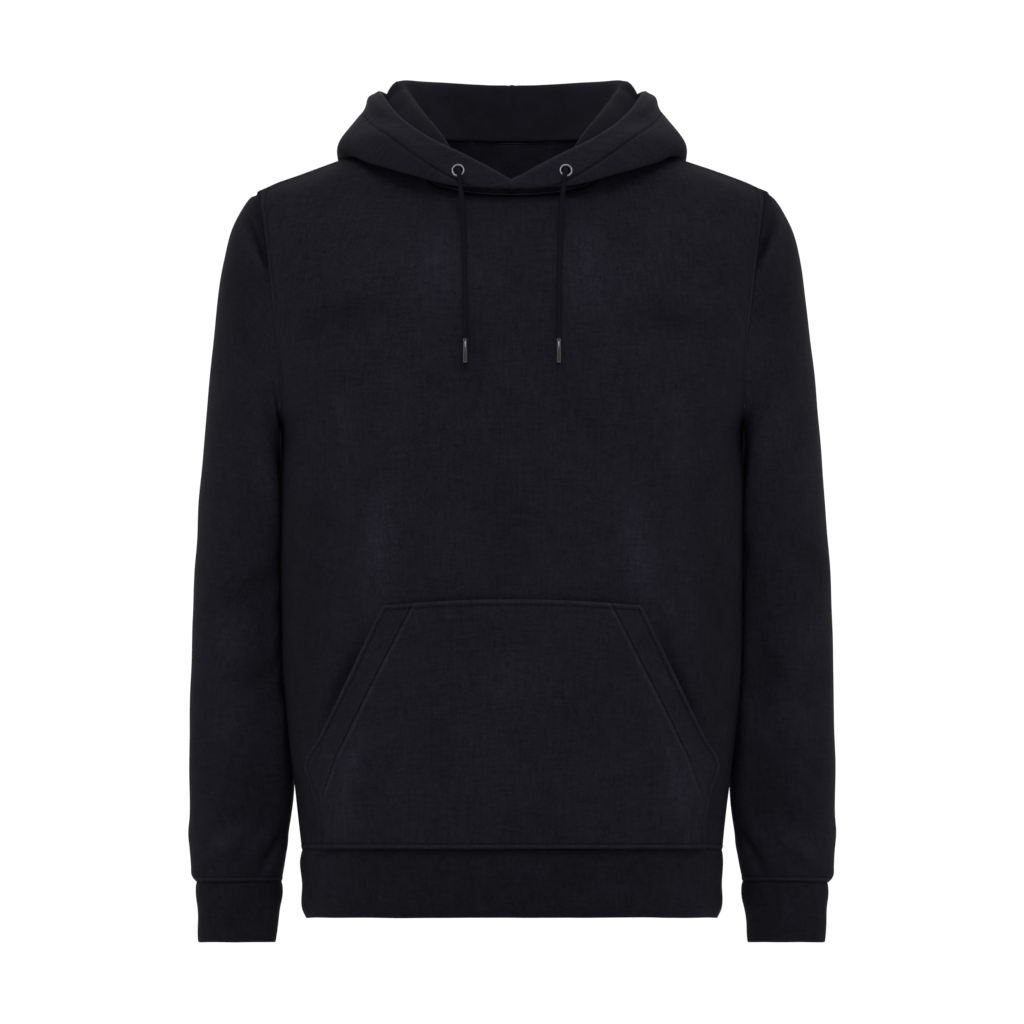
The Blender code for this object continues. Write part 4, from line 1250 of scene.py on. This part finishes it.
def turned_piece(name, section, segments, ring, finish):
    """Turns a section, from a circle that is extruded and resized step by step.

    A ring's last circle is bridged to its first. Otherwise both ends are filled.
    """
    bpy.ops.object.select_all(action="DESELECT")
    radius, height = section[0]
    bpy.ops.mesh.primitive_circle_add(vertices=segments, radius=radius * MM,
                                      location=(0, 0, height * MM))
    made = bpy.context.active_object
    made.name = name
    bpy.ops.object.transform_apply(location=True, rotation=True, scale=True)
    bpy.ops.object.mode_set(mode="EDIT")
    bpy.ops.mesh.select_all(action="SELECT")
    if not ring:
        bpy.ops.mesh.edge_face_add()
    for (last_radius, last_height), (radius, height) in zip(section, section[1:]):
        rise = (0, 0, (height - last_height) * MM)
        bpy.ops.mesh.extrude_region_move(TRANSFORM_OT_translate={"value": rise})
        share = radius / last_radius
        bpy.ops.transform.resize(value=(share, share, 1.0), center_override=(0, 0, 0))
    if ring:
        shape = bmesh.from_edit_mesh(made.data)
        for edge in shape.edges:
            edge.select_set(edge.is_boundary)
        bmesh.update_edit_mesh(made.data)
        bpy.ops.mesh.bridge_edge_loops()
    bpy.ops.mesh.select_all(action="SELECT")
    bpy.ops.mesh.remove_doubles(threshold=0.01 * MM)
    bpy.ops.mesh.normals_make_consistent(inside=False)
    bpy.ops.object.mode_set(mode="OBJECT")
    made.data.materials.append(materials()[finish])
    return made


def cord_path(side):
    """The drawcord's middle line, from inside the eyelet down to its tip."""
    cord = bpy.context.scene.hoodie_cord
    centre, _ = eyelet_place(side)
    places = [centre + Vector((side * x, y, z)) * MM for x, y, z in zip(*CORD_START.values())]
    front = node_surface("body_front")
    furthest = places[-1].y
    for height, distance in zip(*CORD_HANG.values()):
        x, z = side * distance * MM, height * MM
        touched = from_front(front, x, z)
        y = min(touched.y - cord.radius - cord.clear, furthest) if touched else furthest
        places.append(Vector((x, y, z)))
    places = np.array([place[:] for place in places])
    knots = run_lengths(places)
    return spline(places, knots, np.linspace(0, knots[-1], 40)), float(knots[-1])


def braided_tube(name, path, radius):
    """A round braid along a path: strands that cross each other in two directions."""
    segments, gap = 20, 0.5 * MM
    knots = run_lengths(path)
    count = int(knots[-1] / gap)
    along = np.linspace(0, knots[-1], count)
    middle = spline(path, knots, along)
    ahead = np.gradient(middle, axis=0)
    ahead /= np.linalg.norm(ahead, axis=1, keepdims=True)
    side = np.cross(ahead, np.array((0.9, 0.3, 0.1)))
    side /= np.linalg.norm(side, axis=1, keepdims=True)
    other = np.cross(ahead, side)
    turns = np.linspace(0, 2 * math.pi, segments, endpoint=False)
    strands = 6
    pitch = 9 * MM
    wind = 2 * math.pi * along[:, None] / pitch
    over = np.maximum(np.cos(strands * turns + strands * wind), np.cos(strands * turns - strands * wind))
    reach = radius * (0.955 + 0.05 * over)
    points = (middle[:, None] + side[:, None] * (np.cos(turns) * reach)[..., None]
              + other[:, None] * (np.sin(turns) * reach)[..., None])
    index = np.arange(count * segments).reshape(count, segments)
    index = np.concatenate((index, index[:, :1]), axis=1)
    ends = [tuple(index[0, -2::-1]), tuple(index[-1, :-1])]
    made = smooth_object(name, points.reshape(-1, 3), cells(index).reshape(-1, 4).tolist() + ends)
    choose(made)
    bpy.ops.object.mode_set(mode="EDIT")
    bpy.ops.mesh.select_all(action="SELECT")
    bpy.ops.mesh.normals_make_consistent(inside=False)
    bpy.ops.object.mode_set(mode="OBJECT")
    made.data.materials.append(materials()["braided_cord"])
    return made


class HOODIE_OT_drawcord(bpy.types.Operator):
    """Both free ends of the drawcord, with their metal tips and eyelets"""
    bl_idname = "hoodie.drawcord"
    bl_label = "Drawcord"

    def execute(self, context):
        cord = context.scene.hoodie_cord
        for name, side in SIDES.items():
            path, length = cord_path(side)
            tip = turned_piece("tip_metal_" + name, TIP_SECTION, 32, False, "dark_gunmetal")
            place_turned(tip, Vector(path[-1]), Vector(path[-2] - path[-1]).normalized())
            eyelet = turned_piece("eyelet_ring_" + name, EYELET_SECTION, 48, True, "gunmetal")
            place_turned(eyelet, *eyelet_place(side))
            for piece, node, angle in ((tip, "tip_", 30), (eyelet, "eyelet_", 60)):
                choose(piece)
                bpy.ops.object.shade_smooth_by_angle(angle=math.radians(angle))
                finish_piece(piece, node + name, slot="gunmetal")
            braid = braided_tube("drawcord_" + name, path, cord.radius)
            finish_piece(braid, "cord_" + name, slot="drawcord")
        return {"FINISHED"}


def cut_eyelet_hole(made, side):
    """Cuts the eyelet's hole through the outer layer of the hood's cord tunnel."""
    bpy.ops.object.select_all(action="DESELECT")
    bpy.ops.mesh.primitive_cylinder_add(vertices=32, radius=EYELET_CUT * MM, depth=6.2 * MM)
    cutter = bpy.context.active_object
    centre, outward = eyelet_place(side)
    place_turned(cutter, centre + outward * 0.45 * MM, outward)
    choose(made)
    hole = made.modifiers.new("Eyelet hole", "BOOLEAN")
    hole.operation = "DIFFERENCE"
    hole.solver = "EXACT"
    hole.object = cutter
    bpy.ops.object.modifier_apply(modifier=hole.name)
    bpy.data.objects.remove(cutter)


# ================================================================ hood
# Guide lines of one half of the lying hood, in millimetres, at turns round the neckline in
# degrees: the roll at the neck, its inside, the deep fold, the outer layer and the free rim.
HOOD = {
    "turn": (0, 25, 50, 70, 90, 108, 128, 155, 180),
    "crest": ((0, -96, -26.5), (40, -88, -20), (60, -67, 13), (77, -37, 36), (90, 5, 52), (98, 38, 64),
              (100, 66, 71), (56, 88, 68.5), (0, 93, 66)),
    "inner": ((0, -98, -26.5), (47, -94, -21), (79, -70, 2), (100, -37, 19), (114, 8, 29), (121, 52, 34),
              (119, 86, 28), (66, 109, 0), (0, 116, -30)),
    "fold": ((0, -105, -25.5), (50, -100, -23.5), (95, -80, -14), (128, -47, -5), (150, 5, 3),
             (152, 62, -24), (133, 108, -74), (78, 138, -140), (0, 145, -168)),
    "outer": ((0, -106, -22.5), (49, -101.5, -14), (92, -84, 7), (124, -54, 20), (156, 3, 18),
              (154, 70, 10), (134, 120, -10), (76, 154, -48), (0, 164, -64)),
    "rim": ((0, -101, -19), (42, -95, 2.5), (78, -71, 21), (105, -38, 40), (120.5, 8, 59),
            (122, 62, 62), (106, 108, 56), (60, 138, 48), (0, 147, 45)),
}
HOOD_SPANS = (("neck", 10), ("crest", 12), ("inner", 12), ("fold", 10), ("outer", 14), ("rim", 0))
NECK_SEAM_IN = 1.9 * MM
NECK_SEAM_UP = 1.3 * MM


def through(points, place):
    """Point on a smooth line through evenly numbered points."""
    points = np.asarray(points, float)
    last = len(points) - 1
    index = min(int(place), last - 1)
    before = points[index - 1] if index else 2 * points[0] - points[1]
    after = points[index + 2] if index + 2 <= last else 2 * points[last] - points[last - 1]
    start, end, t = points[index], points[index + 1], place - index
    return (start * (2 * t ** 3 - 3 * t ** 2 + 1) + (end - before) / 2 * (t ** 3 - 2 * t ** 2 + t)
            + end * (3 * t ** 2 - 2 * t ** 3) + (after - start) / 2 * (t ** 3 - t ** 2))


def round_neck(points, place, pointed=False):
    """The same along a guide line, which runs on as its own mirror image at both ends.

    A pointed one runs straight into the middle of the front, where it meets the other half in a V.
    """
    points = np.asarray(points, float)
    flip = np.array((-1, 1, 1))
    ahead = 2 * points[:1] - points[1:2] if pointed else points[1:2] * flip
    longer = np.concatenate((ahead, points, points[-2:-1] * flip))
    return through(longer, place + 1)


def neck_line():
    """The body's upper edge as two rows of points from the middle to the side, front and back."""
    cloth = bpy.context.scene.hoodie_cloth
    rows = {}
    for face in ("front", "back"):
        row = read_grid("body_" + face, cloth.fleece_wall, BODY_AXIS, BODY_COLUMNS, False)[-1]
        row = row[np.argsort(row[:, 0])]
        rows[face] = row
    return rows


def hood_sheet(rows):
    """The left half of the hood as a fine sheet: columns round the neck, rows along the cloth."""
    turns = HOOD["turn"]
    steps_round = 12
    grid = []
    for step in range((len(turns) - 1) * steps_round + 1):
        place = step / steps_round
        turn = np.interp(place, range(len(turns)), turns)
        face = "front" if turn < 90 else "back"
        x = NECK_HALF_WIDTH * math.sin(math.radians(turn))
        neck = np.array([np.interp(x, rows[face][:, 0], rows[face][:, k]) for k in range(3)])
        neck += (-NECK_SEAM_IN, 0, NECK_SEAM_UP) * np.array((math.sin(math.radians(turn)), 0, 1))
        guides = [neck]
        guides += [round_neck(HOOD[line], place, line in ("outer", "rim")) * MM
                   for line, _ in HOOD_SPANS[1:]]
        column = []
        for i, (_, count) in enumerate(HOOD_SPANS):
            column += [through(guides, i + j / count) for j in range(count)]
        column.append(guides[-1])
        grid.append(column)
    grid = np.swapaxes(np.array(grid), 0, 1)
    grid[:, (0, -1), 0] = 0.15 * MM
    return Sheet(grid, False, bpy.context.scene.hoodie_cloth.small_cell)


# A patch of painted light on the hood's outer side.
HOOD_LIGHT_PATCHES = {
    "x": (124,),
    "z": (5,),
    "wide": (22,),
    "high": (30,),
    "amount": (0.2,),
}
HOOD_FOLDS = {
    "start_across": (-150, -110, -60, -20, 60, 110, 150, 20),
    "start_up": (190, 205, 230, 250, 280, 300, 260, 60),
    "end_across": (-128, -84, -24, 30, 96, 140, 186, 64),
    "end_up": (160, 170, 190, 210, 330, 350, 340, 30),
    "bow": (3, 4, -4, 5, -6, 6, 5, 4),
    "width": (6, 8, 9, 12, 14, 14, 15, 12),
    "depth": (0.8, 1.0, -1.1, 1.4, 1.6, -1.5, 1.5, 1.2),
}


HOOD_REACH = (0.0, 0.0, 1.2)        # at its foot, rim and middle, in millimetres
HOOD_DIP = 0.3 * MM
CENTRE_SEAM_Y = 0.05                # the centre seam lies behind this
BROW_STARTS = (-0.045, -0.015)      # the swollen stretch of the rim at each side, from front to back
BROW_ENDS = (0.085, 0.12)
BROW_OUT = 0.1                      # and only further from the middle than this
TUNNEL = 24.0                       # stitching of the cord tunnel, from the hood's rim, in millimetres
TUNNEL_ROLL = 2.6 * MM              # radius of the rim over the cord
TUNNEL_HEM = 3.0                    # of cloth turned in past its stitching, in millimetres
# Relief in millimetres, and painted light and shade, along an edge: place and width in millimetres, and
# amount.
TUNNEL_RELIEF = ((TUNNEL, 1.2, -0.6),)
BROW_RELIEF = ((9, 7, 4.2),)
RIM_SHADE = ((0, 1.6, 0.55), (TUNNEL, 1.1, -0.7), (TUNNEL + 2.2, 1.2, 0.25))
CENTRE_SHADE = ((0, 1.0, -0.25),)
# painted shadow on the hood's rows beside the neck seam in front
THROAT_SHADE = ((0, 7, -0.8),)
THROAT_Y = -0.06                    # the throat is in front of this
# How far each half is moved at the throat, across and forward, so that the left laps the right.
LAP = {"left": (1.6 * MM, 1.1 * MM), "right": (0.0, -0.5 * MM)}
LAP_WIDTH = 9 * MM
SINK = (0.5 * MM, 1.6 * MM)         # of the foot into the neck seam, and how much more behind
CENTRE_LAP = 0.05 * MM              # how far a half may pass the middle at the centre seam


class HOODIE_OT_hood(bpy.types.Operator):
    """The hood lying round the neck, in two halves with a centre seam and a corded rim"""
    bl_idname = "hoodie.hood"
    bl_label = "Hood"

    def execute(self, context):
        cloth = context.scene.hoodie_cloth
        finishes = materials()
        rows = neck_line()
        lines = []
        for name, side in SIDES.items():
            sheet = hood_sheet(rows)
            sheet.widen(*HOOD_REACH)
            below = sheet.height - sheet.up
            edge = sheet.side_distance()
            x, y, _ = np.moveaxis(sheet.points, 2, 0)
            behind = y > CENTRE_SEAM_Y
            brow = smoothstep(*BROW_STARTS, y) * (1 - smoothstep(*BROW_ENDS, y)) * (x > BROW_OUT)
            heights = folds_and_painted_shading(sheet, HOOD_FOLDS, HOOD_LIGHT_PATCHES, (51, 0.05, 0.3 * MM))
            heights *= smoothstep(0, 22 * MM, below) * smoothstep(0, 20 * MM, sheet.up)
            heights *= smoothstep(0, 12 * MM, edge)
            heights += seam_heights(edge, HOOD_DIP) * behind + bands(below, TUNNEL_RELIEF) * MM
            heights += bands(below, BROW_RELIEF) * brow * MM
            in_throat = y < THROAT_Y
            sheet.push(heights)
            # painted highlight on the rim, painted shade along the tunnel's stitching and the centre seam,
            # and a painted shadow at the throat
            sheet.painted_shading += bands(below, RIM_SHADE) + bands(edge, CENTRE_SHADE) * behind
            sheet.painted_shading += bands(sheet.up, THROAT_SHADE) * in_throat
            lap = 1 - smoothstep(0, LAP_WIDTH, sheet.points[..., 0])
            lap = lap * (sheet.points[..., 1] < 0)
            sheet.points[..., :2] -= lap[..., None] * LAP[name]
            half = [sheet.row_line(TUNNEL * MM, from_top=True)]
            half.append(cut_line(sheet.column_line(3.2 * MM, 1),
                                 lambda points: points[:, 1] > CENTRE_SEAM_Y))
            into_seam = sheet.points[0] - sheet.points[2]
            into_seam /= np.linalg.norm(into_seam, axis=1, keepdims=True)
            sink = SINK[0] + SINK[1] * smoothstep(0.0, 0.05, sheet.points[0, :, 1])
            sheet.points[0] += into_seam * sink[:, None]
            sheet.turn_in("top", TUNNEL_ROLL, (TUNNEL + TUNNEL_HEM) * MM)
            if side < 0:
                sheet.points = sheet.points[:, ::-1] * (-1, 1, 1)
                sheet.painted_shading = sheet.painted_shading[:, ::-1]
                sheet.measure()
                half = [(points * (-1, 1, 1), outward * (-1, 1, 1)) for points, outward in half]
            lines += half
            made = sheet_mesh("hood_half_" + name, sheet)
            give_wall(made, cloth.fleece_wall, finishes["fleece_face"], finishes["hood_inside"])
            for vert in made.data.vertices:
                if vert.co.y > 0 and vert.co.x * side < -CENTRE_LAP:
                    vert.co.x = side * -CENTRE_LAP
            cut_eyelet_hole(made, side)
            finish_cloth(made, "hood_" + name)
        stitch_rows("hood_stitching", lines)
        return {"FINISHED"}


# ================================================================ stage
class HOODIE_OT_camera(bpy.types.Operator):
    """Camera in front of the garment, level with its middle and without perspective"""
    bl_idname = "hoodie.camera"
    bl_label = "Camera"

    def execute(self, context):
        stage = context.scene.hoodie_stage
        camera = bpy.data.cameras.new("front_camera")
        camera.type = "ORTHO"
        camera.ortho_scale = stage.view_width
        camera.clip_end = 50.0
        made = bpy.data.objects.new("front_camera", camera)
        made.location = (0.0, -stage.camera_distance, stage.view_height)
        made.rotation_euler = (math.pi / 2, 0.0, 0.0)
        context.scene.collection.objects.link(made)
        context.scene.camera = made
        return {"FINISHED"}


LIGHTS = {
    # name: (place, aimed at, width, height, watts)
    "front_softbox": ((0.0, -2.5, 2.3), (0.0, 0.0, -0.25), 2.2, 1.4, 52.0),
    "left_strip": ((-2.3, -0.6, 0.4), (-0.2, 0.0, -0.35), 0.6, 2.0, 3.5),
    "right_strip": ((2.3, -0.6, 0.4), (0.2, 0.0, -0.35), 0.6, 2.0, 3.5),
    "top_bank": ((0.0, 0.2, 2.6), (0.0, 0.0, 0.0), 3.0, 3.0, 15.0),
    "floor_bank": ((0.0, 3.2, 2.4), (0.0, 3.2, 0.0), 6.0, 3.0, 160.0),
}


class HOODIE_OT_stage(bpy.types.Operator):
    """Pale floor, soft studio lights and a pale sky"""
    bl_idname = "hoodie.stage"
    bl_label = "Studio"

    def execute(self, context):
        stage = context.scene.hoodie_stage
        colours = context.scene.hoodie_colours
        floor_height = CAD_LOW[2] - stage.floor_gap
        bpy.ops.object.select_all(action="DESELECT")
        bpy.ops.mesh.primitive_plane_add(size=14.0, location=(0, 0, floor_height))
        floor = context.active_object
        floor.name = "studio_floor"
        paint, tree, shader = new_material("floor_paint", colours.floor, 0.9, specular=0.1)
        speck = noise(tree, add_node(tree, "ShaderNodeTexCoord").outputs["Object"], 6.0, 2.0, 0.5)
        tree.links.new(colour_range(tree, speck, colours.floor, 0.99, 1.01), shader.inputs["Base Color"])
        floor.data.materials.append(paint)
        for name, (place, target, width, height, watts) in LIGHTS.items():
            light = bpy.data.lights.new(name, "AREA")
            light.shape = "RECTANGLE"
            light.size = width
            light.size_y = height
            light.energy = watts
            lamp = bpy.data.objects.new(name, light)
            lamp.location = place
            lamp.rotation_euler = (Vector(target) - Vector(place)).to_track_quat("-Z", "Y").to_euler()
            context.scene.collection.objects.link(lamp)
        world = bpy.data.worlds.new("pale_sky")
        world.use_nodes = True
        sky = world.node_tree
        way = add_node(sky, "ShaderNodeTexCoord")
        parts = add_node(sky, "ShaderNodeSeparateXYZ")
        sky.links.new(way.outputs["Generated"], parts.inputs["Vector"])
        bright = add_node(sky, "ShaderNodeMapRange", interpolation_type="SMOOTHSTEP")
        bright.inputs["From Min"].default_value = 0.1
        bright.inputs["From Max"].default_value = 0.95
        bright.inputs["To Min"].default_value = stage.sky_front
        bright.inputs["To Max"].default_value = stage.sky_back
        sky.links.new(parts.outputs["Y"], bright.inputs["Value"])
        sky.nodes["Background"].inputs["Color"].default_value = (1.0, 1.0, 1.0, 1.0)
        sky.links.new(bright.outputs["Result"], sky.nodes["Background"].inputs["Strength"])
        context.scene.world = world
        context.scene.view_settings.view_transform = "Standard"
        return {"FINISHED"}


# ================================================================ panel, register and main
OPERATORS = (
    HOODIE_OT_camera,
    HOODIE_OT_drawcord,
    HOODIE_OT_body,
    HOODIE_OT_bands,
    HOODIE_OT_pocket,
    HOODIE_OT_sleeves,
    HOODIE_OT_hood,
    HOODIE_OT_stage,
)


class HOODIE_PT_panel(bpy.types.Panel):
    """Sizes, colours and building steps of the hoodie"""
    bl_label = "Hoodie"
    bl_idname = "HOODIE_PT_panel"
    bl_space_type = "VIEW_3D"
    bl_region_type = "UI"
    bl_category = "Hoodie"

    def draw(self, context):
        for operator in OPERATORS:
            self.layout.operator(operator.bl_idname)
        for name, group in GROUPS.items():
            box = self.layout.box()
            for field in group.__annotations__:
                box.prop(getattr(context.scene, name), field)


CLASSES = (*GROUPS.values(), *OPERATORS, HOODIE_PT_panel)


def register():
    for item in CLASSES:
        bpy.utils.register_class(item)
    for name, group in GROUPS.items():
        setattr(bpy.types.Scene, name, PointerProperty(type=group))


def unregister():
    for name in GROUPS:
        delattr(bpy.types.Scene, name)
    for item in reversed(CLASSES):
        bpy.utils.unregister_class(item)


def main():
    register()
    bpy.ops.hoodie.camera()
    bpy.ops.hoodie.drawcord()
    bpy.ops.hoodie.body()
    bpy.ops.hoodie.bands()
    bpy.ops.hoodie.pocket()
    bpy.ops.hoodie.sleeves()
    bpy.ops.hoodie.hood()
    bpy.ops.hoodie.stage()


if __name__ == "__main__":
    main()
